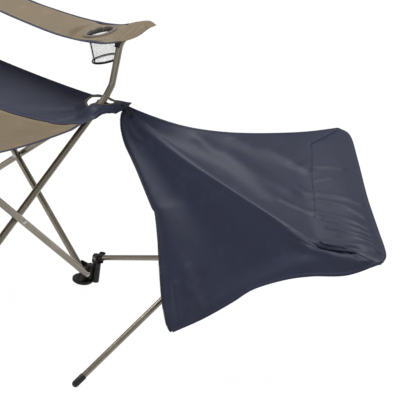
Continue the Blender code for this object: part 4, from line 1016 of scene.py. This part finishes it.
def corner_spots(index, height, low_end):
    """Pivots of a corner: (place, outward direction) of its two legs."""
    offset = -plane_offset if low_end else plane_offset
    corner, inset = half(), half() - pivot_inset
    turn, out = quarter[index].to_3x3(), math.copysign(1, offset)
    return [(turn @ Vector((inset, -corner + offset, height)), turn @ Vector((0, out, 0))),
            (turn @ Vector((corner + offset, -inset, height)), turn @ Vector((out, 0, 0)))]


class CornersStep(ChairStep):
    """Moulded feet, seat corners, clips and end caps, with their rivets"""
    bl_idname = "chair.corners"
    bl_label = "Moulded corners"

    def execute(self, context):
        plastic = plastic_finish("moulded_plastic", tuple(colours().plastic))
        zinc = bright_finish("rivet_zinc")
        leg = sizes().leg_diameter / 2
        for index, corner in enumerate(corner_names):
            for kind, height, low_end in (("foot", foot_height, True), ("hub", seat_height, False)):
                body = f"{kind}_{corner}"
                piece(body + "_moulding", dressed(body, 0.0007, 3), [plastic], body, [body], 34)
                bm = bmesh.new()
                for spot, outward in corner_spots(index, height, low_end):
                    domed_rivet(bm, spot + outward * (leg + fit_gap), outward)
                    domed_rivet(bm, spot - outward * (plane_offset + washer_gap), -outward)
                if kind == "hub" and index in (0, 3):
                    x, y, z = nose_rivet_spot
                    turn = quarter[index] @ Matrix.Translation((half(), -half(), 0))
                    turn @= Matrix.Rotation(math.radians(-45), 4, "Z")
                    aim = turn.to_3x3() @ Vector((0, 1, 0))
                    rivet_pair(bm, turn @ Vector((x, 0, z)), aim, y, *nose_head)
                piece(f"{body}_rivets", bm, [zinc], body, sharp=40)
        for side, turn in zip(("front", "left", "rear", "right"), quarter):
            bm = bmesh.new()
            centre = turn @ Vector((0, -half(), (foot_height + seat_height) / 2))
            aim = turn.to_3x3() @ Vector((0, 1, 0))
            reach = plane_offset + leg + fit_gap
            rivet_pair(bm, centre, aim, reach)
            disc(bm, *cross_washer, centre, aim, 24)
            disc(bm, rivet_shank, reach, centre, aim)
            body = f"leg_{side}_{'outer' if side in ('front', 'right') else 'inner'}"
            piece("crossing_rivet_" + side, bm, [zinc], body, ["rivet_cross_" + side], 40)
        for node, members in frame["record"]["behaviour"]["bodies"].items():
            for name in members:
                if name.startswith(("cap_", "clip_")):
                    piece(name + "_moulding", dressed(name, 0.0005, 2), [plastic], node, [name], 34)
        clip = point(clip_shares)
        spare = Vector((-clip.x, clip.y, clip.z))
        for side, spot, lean in (("left", clip, point(pole_p_tip_shares) - clip),
                                 ("right", spare, Vector((-spare.x, -sizes().corner_spacing, 0)))):
            bm = bmesh.new()
            aim = Vector((0, 0, 1)).cross(lean.to_2d().to_3d().normalized())
            rivet_pair(bm, spot, aim, clip_reach, *small_head)
            piece(f"clip_{side}_rivets", bm, [zinc], "clip_" + side, sharp=40)
        return {"FINISHED"}


def slot_outlines():
    """Openings round the posts at the seat's corners, as flat loops."""
    made = []
    for turn, (length, width, x, y, angle) in zip(quarter, slots):
        turn = turn @ Matrix.Translation((half() + x, y - half(), 0))
        turn @= Matrix.Rotation(math.radians(angle), 4, "Z")
        made.append([turn @ Vector((length * math.cos(a), width * math.sin(a) * abs(math.sin(a)) ** 0.3, 0))
                     for a in (math.tau * i / 40 for i in range(40))])
    return made


def seat_bodies(side):
    """The two legs of a side, and the seat's front and rear corners on it."""
    x, order = (half(), ("outer", "inner")) if side == "left" else (-half(), ("inner", "outer"))
    return (*(f"leg_{side}_{kind}" for kind in order), (x, -half(), seat_height), (x, half(), seat_height))


def slung_cloths(name, seam, width, length=None):
    """Light cloth, dark cloth and tape of a slung sheet whose seams lie this far from its middle."""
    tan = cloth_finish(name + "_tan_cloth", tuple(colours().tan), across=[seam - row for row in seam_rows])
    navy = cloth_finish(name + "_navy_cloth", tuple(colours().navy), width, length,
                        (seam + seam_outer_row,), (hem_row,))
    return tan, navy, cloth_finish(name + "_tape", tuple(colours().navy), ribs=True, across=(tape_row,))


def lap(u):
    """Height of the side cloth over its surface, raised where it lies over the centre cloth."""
    return lap_lift * (1 - ease((abs(u) - centre_share - lap_reach) / lap_fade)) - side_sink


class SeatStep(ChairStep):
    """Slung seat: light centre, dark sides, taped edge and slots round the posts"""
    bl_idname = "chair.seat"
    bl_label = "Seat cloth"

    def execute(self, context):
        width = 2 * sizes().corner_spacing * (seat_edge_share - seat_inset_share * 0.5)
        flat = scaled(width / 2, width / 2)
        tan, navy, tape = slung_cloths("seat", centre_share * width / 2, width, width)
        outlines = slot_outlines()
        cutters = [cutter_from(loop, *seat_cutter) for loop in outlines]
        edge = 1 - cloth_margin_share
        for side, sense in sides:
            run = sorted((0.0, sense * (centre_share + lap_share)))
            made = cloth_patch("seat_centre_" + side, lambda u, v: seat_cloth(u, v, -centre_sink), run,
                               (-edge, edge), (40, 110), flat, [tan])
            settle(made, seat_bodies(side), "seat_centre", side == "left")
            run = sorted((sense * centre_share, sense * edge))
            made = cloth_patch(f"seat_side_{side}_cloth", lambda u, v: seat_cloth(u, v, lap(u)), run,
                               (-edge, edge), (44, 110), flat, [navy], cutters)
            settle(made, seat_bodies(side), "seat_side_" + side)
        drop_cutters(cutters)
        count, share = 44, 1 - sizes().tape_width / width
        for side, sense in sides:
            loop = [(sense * share * i / count, -share) for i in range(count)]
            loop += [(sense * share, -share + 2 * share * i / (2 * count)) for i in range(2 * count)]
            loop += [(sense * share * (1 - i / count), share) for i in range(count + 1)]
            path = [seat_cloth(u, v) for u, v in loop]
            wide = [seat_cloth(u * 1.02, v * 1.02) - seat_cloth(u * 0.98, v * 0.98) for u, v in loop]
            made = edge_tape("seat_edge_tape_" + side, path, wide, [tape])
            made.data.validate()
            settle(made, seat_bodies(side), "seat_binding", side == "left")
        for index, (corner, loop) in enumerate(zip(corner_names, outlines)):
            path = [seat_cloth(*seat_shares_at(spot.x, spot.y), slot_tape_lift) for spot in loop]
            centre = sum(path, Vector()) / len(path)
            look = colours().tan if corner.startswith("front") else colours().navy
            finish = cloth_finish(f"slot_tape_{index}", shade(tuple(look), 0.45), ribs=True)
            wide = [spot - centre for spot in path]
            made = edge_tape("seat_slot_tape_" + corner, path, wide, [finish], True, *slot_tape)
            settle(made, seat_bodies(corner.split("_")[1]), "seat_binding", False)
        return {"FINISHED"}


class BackStep(ChairStep):
    """Slung back with its sleeves on the posts"""
    bl_idname = "chair.back"
    bl_label = "Back cloth"

    def execute(self, context):
        width, height = 2 * (half() - back_gap), back_high - back_low
        flat, anchor = scaled(width / 2, height), back_post(1, back_low)
        tan, navy, tape = slung_cloths("back", centre_share * width / 2, width)
        reach, side_share = centre_share + lap_share, (1 - centre_share) / 2
        sheets = [("centre", (-reach, reach), 70, tan, lambda u: -centre_sink, centre_share),
                  ("side_left", (centre_share, 1.0), 44, navy, lap, side_share),
                  ("side_right", (-1.0, -centre_share), 44, navy, lap, side_share)]
        for name, run, cells, finish, lift, share in sheets:
            made = cloth_patch(f"back_{name}_cloth", lambda u, v: back_cloth(u, v, lift(u)), run,
                               (0.01, 0.99), (cells, 80), flat, [finish])
            settle(made, "hub_rear_left", "back_" + name)
            share * width
            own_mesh(made)
            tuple(anchor)
        for place, v in (("low", 0.012), ("top", 0.988)):
            line = [-1 + 2 * i / 70 for i in range(71)]
            wide = [back_cloth(u, v + 0.02) - back_cloth(u, v - 0.02) for u in line]
            made = edge_tape("back_edge_tape_" + place, [back_cloth(u, v) for u in line], wide, [tape])
            settle(made, "hub_rear_left", "back_binding", place == "low")
            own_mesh(made)
            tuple(anchor)
        for side, sense in sides:
            self.sleeve(side, back_post(sense, sleeve_low), back_post(sense, back_high))
        return {"FINISHED"}

    def sleeve(self, side, low, high):
        finish = cloth_finish(f"sleeve_{side}_cloth", tuple(colours().navy), worn=1.4)
        inner, length = sizes().leg_diameter / 2 + 0.0004, (high - low).length
        profile = [(inner, 0), (inner + 0.0016, 0.0004)]
        for t in (i / 40 for i in range(1, 40)):
            swell = 0.0012 + 0.0005 * math.sin(t * 37) * math.sin(t * 11)
            profile.append((inner + swell, length * t))
        profile += [(inner + 0.0016, length - 0.0004), (inner, length)]
        bm = bmesh.new()
        turned(bm, profile, low, high - low, 28, True)

        def spread(face, loop):
            spot = loop.vert.co
            return math.atan2(spot.y - low.y, spot.x - low.x) * inner, spot.z

        map_flat(bm, spread)
        node = "back_sleeve_" + side
        made = piece(node + "_cloth", bm, [finish], "hub_rear_" + side, [node], 60)


class ArmsStep(ChairStep):
    """Arm straps with taped edges, and the cup holders hung in them"""
    bl_idname = "chair.arms"
    bl_label = "Arms and cup holders"

    def execute(self, context):
        for side, sense in sides:
            self.strap(side, sense)
            self.cup(side, sense)
        return {"FINISHED"}

    def strap(self, side, sense):
        cup, anchor, rear = point(cup_shares), back_post(sense, arm_anchor), "hub_rear_" + side
        tan = cloth_finish(f"arm_{side}_cloth", tuple(colours().tan), edges=(arm_row,), width=arm_size[0])
        tape = cloth_finish(f"arm_{side}_tape", tuple(colours().navy), ribs=True, across=(tape_row,))
        black = cloth_finish(f"arm_{side}_tab", tuple(colours().tape), ribs=True)
        cutters = [cutter_from(round_path(48, cup_hole, sense * cup.x, cup.y), *arm_cutter)]
        made = cloth_patch(f"arm_{side}_strap", arm_cloth(sense), (0.03, 0.97), (0.022, 0.995), (30, 130),
                           scaled(*arm_size, 0.5), [tan], cutters)
        drop_cutters(cutters)
        settle(made, rear, "arm_" + side)
        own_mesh(made)
        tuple(anchor)
        edge = arm_cloth(sense, False)
        across, along, inset, far = 8, 60, arm_tape_inset, arm_tape_far
        loop = [(1 - inset, arm_tape_start + (far - arm_tape_start) * i / along) for i in range(along)]
        loop += [(1 - inset - (1 - 2 * inset) * i / across, far) for i in range(across)]
        loop += [(inset, far - (far - arm_tape_end) * i / along) for i in range(along + 1)]
        wide = []
        for u, v in loop:
            du = (edge(u + 0.02, v) - edge(u - 0.02, v)).normalized()
            dv = (edge(u, v + 0.01) - edge(u, v - 0.01)).normalized()
            wide.append(dv if v > 0.99 and inset < u < 1 - inset else du * (1 if u > 0.5 else -1))
        path = [edge(u, v) for u, v in loop]
        made = edge_tape(f"arm_{side}_edge_tape", path, wide, [tape], half_width=arm_tape)
        settle(made, rear, "arm_binding_" + side)
        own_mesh(made)
        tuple(anchor)
        path = [edge(0.02, 0.285) - Vector((0, 0, 0.0016 + 0.0035 * i)) for i in range(4)]
        wide = [edge(0.02, 0.30) - edge(0.02, 0.27)] * 4
        made = edge_tape(f"arm_{side}_tab_tape", path, wide, [black], False, *arm_tab_tape)
        settle(made, "hub_front_" + side, "arm_binding_" + side, False)

    def cup(self, side, sense):
        body, axis, cup = "hub_front_" + side, cup_axis(sense), point(cup_shares)
        centre = Vector((sense * cup.x, cup.y, cup.z)) + axis * 0.0009
        upright = axis.to_track_quat("Z", "Y").to_matrix().to_4x4()
        upright.translation = centre
        bm = bmesh.new()
        profile = [((ring_inner if inward else ring_outer) + step, height)
                   for inward, step, height in ring_section]
        turned(bm, profile, centre, axis, 64, True)
        moulding = plastic_finish(f"cup_{side}_ring_plastic", ring_colour)
        piece(f"cup_{side}_ring_moulding", bm, [moulding], body, ["cup_ring_" + side], 40)
        bm = bmesh.new()
        top, low, wall = ring_inner + 0.0016, cup_bottom, 0.0005
        outer = [(0.0, -cup_depth), (low * 0.5, -cup_depth - 0.0006), (low - 0.001, -cup_depth)]
        for t in (i / 12 for i in range(13)):
            outer.append((low + (top - low) * t - 0.0012 * math.sin(math.pi * t),
                          -cup_depth + 0.001 + (cup_depth - 0.0055) * t))
        inner = [(max(r - wall, 0), h + (wall if i < 3 else 0)) for i, (r, h) in enumerate(outer)]
        turned(bm, outer + inner[::-1], centre, axis, 48)
        bm.normal_update()
        flatten = upright.inverted()

        def spread(face, loop):
            middle, spot = flatten @ face.calc_center_median(), flatten @ loop.vert.co
            if abs(face.normal.dot(axis)) > 0.7:
                return spot.x, spot.y
            start = math.atan2(middle.y, middle.x)
            return (start + math.remainder(math.atan2(spot.y, spot.x) - start, math.tau)) * low, spot.z

        map_flat(bm, spread)
        net = net_finish(f"cup_{side}_net", tuple(colours().net), math.tau * low / 80)
        piece(f"cup_{side}_net_cup", bm, [net], body, ["cup_" + side], 50)
        tape = cloth_finish(f"cup_{side}_tape", tuple(colours().tape), ribs=True)
        bands = [(-cup_depth + 0.0010, low + 0.0005, 0.0028), (-0.0062, top + 0.0006, 0.0036)]
        for k, (height, radius, tall) in enumerate(bands):
            loop = [upright @ spot for spot in round_path(48, radius, height=height)]
            made = edge_tape(f"cup_{side}_band_{k}", loop, [axis] * 48, [tape], True, tall, cup_band)
            settle(made, body, "cup_" + side, False)
        spot = math.radians(167 if side == "left" else 13)
        aim = Vector((math.cos(spot), math.sin(spot), 0))
        aim = (aim - axis * axis.dot(aim)).normalized()
        path = []
        for t in (i / 8 for i in range(9)):
            radius = low + (top - low) * t + 0.0003
            path.append(centre + aim * radius + axis * (-cup_depth + 0.003 + (cup_depth - 0.010) * t))
        made = edge_tape(f"cup_{side}_seam", path, [aim.cross(axis)] * 9, [tape], False, *cup_seam)
        settle(made, body, "cup_" + side, False)


class FootrestStep(ChairStep):
    """Footrest cloth in two parts, its edge tape, zip and corner tab"""
    bl_idname = "chair.footrest"
    bl_label = "Footrest cloth"

    def execute(self, context):
        rest, split, share, count = Footrest(), rest_split, rest_margin, 70
        navy = cloth_finish("footrest_cloth", tuple(colours().navy), worn=1.2)
        tape = cloth_finish("footrest_tape", tuple(colours().navy), ribs=True, across=(tape_row,))
        # near-black tape: the corner tab's own colour, and painted shade on the pocket's seam line
        dark = cloth_finish("zip_tape", tuple(colours().tape), ribs=True)
        hem = cloth_finish("zip_hem", shade(tuple(colours().navy), 0.8), ribs=True)
        teeth = plastic_finish("zip_teeth", shade(tuple(colours().plastic), 1.6))
        start = rest.plain(split, 0.02)
        line = rest.c - start
        side = (rest.b - start) - line * ((rest.b - start).dot(line) / line.length_squared)
        near = ("clip_left", "pole_left", rest.a, rest.a.lerp(rest.c, split))
        far = ("pole_left", "pole_right", start, start + side)
        cuts = [((0, 0, 0), (1, -1, 0)), ((split, 0, 0), (1, 0, 0))]
        for part, bodies, keep, size in (
                ("near", near, lambda u, v: (v > u or u < split) and u + v > 0.008, near_size),
                ("far", far, lambda u, v: v < u and u > split, far_size)):
            run = (share, 0.992)
            made = cloth_patch(f"footrest_{part}_cloth", rest.cloth, run, run, (170, 170), rest.flat, [navy],
                               lines=cuts, keep=keep)
            settle(made, bodies, "footrest_panel", part == "near")
            area, box = sum(face.area for face in made.data.polygons) / 2, size[0] * size[1]
            min(max(area, least_area_share * box), box)
        whole = [share + (1 - 2 * share) * i / count for i in range(count + 1)]
        first = [rest_first + (split - rest_first) * i / 30 for i in range(31)]
        second = [split + (1 - share - split) * i / count for i in range(count + 1)]
        for name, line, bodies in (("upper_near", [(u, share) for u in first], near),
                                   ("upper_far", [(u, share) for u in second], far),
                                   ("far", [(1 - share, v) for v in whole], far),
                                   ("loose", [(u, 1 - share) for u in whole], "pole_left")):
            wide = rest.wide(line, upright=name != "far")
            made = edge_tape("footrest_tape_" + name, rest.path(line), wide, [tape], False, *rest_tape)
            settle(made, bodies, "footrest_binding", name == "far")
        # painted shade: a near-black tape along the pocket's seam stands for the shade at the pocket's raised
        # edge
        line = [smooth_path([Vector(p) for p in pocket_shade_seam], i / 24) for i in range(25)]
        path = rest.path(line, pocket_shade_lift)
        made = edge_tape("footrest_pocket_shade_seam", path, rest.wide(line), [dark], False, *pocket_shade_tape)
        settle(made, far, "footrest_panel", False)
        line = [(share, rest_first + (0.99 - rest_first) * i / 90) for i in range(91)]
        path, wide = rest.path(line), rest.wide(line)
        made = edge_tape("footrest_zip_tape", path, wide, [hem], False, *zip_tape)
        settle(made, near, "footrest_zip")
        bm, frames, fine = bmesh.new(), frames_along(path, wide), []
        for a, b in zip(frames, frames[1:]):
            parts = max(1, round((b.translation - a.translation).length / tooth_pitch))
            fine += [a.lerp(b, k / parts) for k in range(parts)]
        for i, place in enumerate(fine):
            size = Matrix.Diagonal(tooth)
            size.translation = (tooth_place + (tooth_stagger if i % 2 else 0.0), 0, 0)
            bmesh.ops.create_cube(bm, size=1.0, matrix=place @ size)
        settle(piece("footrest_zip_teeth", bm, [teeth], sharp=30), near, "footrest_zip", False)
        across = Vector((-rest.ridge.y, rest.ridge.x, 0)).normalized()
        outward = Vector((1, -1, 0)).normalized()
        nose = Vector((half(), -half(), seat_height)) + outward * nose_length + Vector((0, 0, nose_top))
        path = [nose - outward * 0.010, nose - outward * 0.001]
        path += rest.path([(t, t) for t in (0.010, 0.018, 0.026, 0.034, 0.042)], corner_tape_lift)
        made = edge_tape("footrest_corner_tab", path, [across] * 7, [dark], False, *corner_tape)
        settle(made, "clip_left", "footrest_tab")
        return {"FINISHED"}


class StageBuild(ChairStep):
    """Floor, lights, surroundings and camera"""
    bl_idname = "chair.stage"
    bl_label = "Stage"

    def execute(self, context):
        stage, scene = context.scene.chair_stage, context.scene
        bm = bmesh.new()
        bmesh.ops.create_grid(bm, x_segments=1, y_segments=1, size=14.0)
        bmesh.ops.translate(bm, verts=bm.verts, vec=(0, 0, -0.0005))
        made = Finish("floor_paper", floor_colour, 0.9)
        tree = made.tree
        glow = made.node("ShaderNodeEmission", Color=(1, 1, 1, 1), Strength=floor_glow)
        rays = made.node("ShaderNodeLightPath")
        seen = made.wire(rays, "Is Camera Ray").most(made.wire(rays, "Is Glossy Ray") * 0.5).most(
            made.wire(rays, "Is Transmission Ray"))
        mixed = made.node("ShaderNodeMixShader")
        plug(tree, seen * 0.92, mixed.inputs[0])
        tree.links.new(made.shader.outputs[0], mixed.inputs[1])
        tree.links.new(glow.outputs[0], mixed.inputs[2])
        tree.links.new(mixed.outputs[0], tree.nodes["Material Output"].inputs[0])
        floor = piece("floor", bm, [made.material], flat=True)
        world = bpy.data.worlds.new("surroundings")
        scene.world = world
        world.use_nodes = True
        tree = world.node_tree
        back = tree.nodes["Background"]
        rays = tree.nodes.new("ShaderNodeLightPath")
        seen, through = (Wire(tree, rays.outputs[f"Is {kind} Ray"]) for kind in ("Camera", "Transmission"))
        back.inputs[0].default_value = (1, 1, 1, 1)
        plug(tree, stage.sky + seen.most(through) * (1.0 - stage.sky), back.inputs[1])
        for name, spot, size, tall, power in (("key", (0.4, 0.7, 3.0), 1.5, 1.5, stage.key),
                                              ("fill", (-3.0, -2.2, 1.6), 2.0, 2.0, stage.fill),
                                              ("strip", (-3.1, 0.2, 1.5), 0.5, 1.8, stage.strip)):
            light = bpy.data.lights.new(name, "AREA")
            light.shape, light.energy, light.size, light.size_y = "RECTANGLE", power, size, tall
            lamp = bpy.data.objects.new(name, light)
            lamp.location = spot
            lamp.rotation_euler = (Vector(lights_aim) - Vector(spot)).to_track_quat("-Z", "Y").to_euler()
            scene.collection.objects.link(lamp)
        view = bpy.data.cameras.new("camera")
        view.lens, view.sensor_width, view.clip_end = stage.lens, 36.0, 60.0
        camera = bpy.data.objects.new("camera", view)
        turn, rise, roll = (math.radians(a) for a in camera_turns)
        flat = math.cos(rise)
        back_way = Vector((math.sin(turn) * flat, -math.cos(turn) * flat, math.sin(rise)))
        level = (-back_way).cross(Vector((0, 0, 1))).normalized()
        upright = level.cross(-back_way)
        right = level * math.cos(roll) + upright * math.sin(roll)
        up = -level * math.sin(roll) + upright * math.cos(roll)
        camera.matrix_world = Matrix.Translation(camera_spot) @ Matrix(
            (right, up, back_way)).transposed().to_4x4()
        scene.collection.objects.link(camera)
        scene.camera = camera
        scene.view_settings.view_transform = "Standard"
        return {"FINISHED"}


class ChairPanel(bpy.types.Panel):
    """Lists the chair's pieces in the sidebar"""
    bl_idname = "VIEW3D_PT_camping_chair"
    bl_label = "Camping chair"
    bl_space_type = "VIEW_3D"
    bl_region_type = "UI"
    bl_category = "Chair"

    def draw(self, context):
        for step in steps:
            self.layout.operator(step.bl_idname)


steps = (StageBuild, TubesStep, PolesStep, CornersStep, SeatStep, BackStep, ArmsStep, FootrestStep)
classes = (ChairSizes, ChairColours, ChairStage, *steps, ChairPanel)


def register():
    for made in classes:
        bpy.utils.register_class(made)
    bpy.types.Scene.chair_sizes = PointerProperty(type=ChairSizes)
    bpy.types.Scene.chair_colours = PointerProperty(type=ChairColours)
    bpy.types.Scene.chair_stage = PointerProperty(type=ChairStage)


def unregister():
    del bpy.types.Scene.chair_sizes, bpy.types.Scene.chair_colours, bpy.types.Scene.chair_stage
    for made in reversed(classes):
        bpy.utils.unregister_class(made)


def main():
    register()
    for step in steps:
        group, name = step.bl_idname.split(".")
        getattr(getattr(bpy.ops, group), name)()


if __name__ == "__main__":
    main()
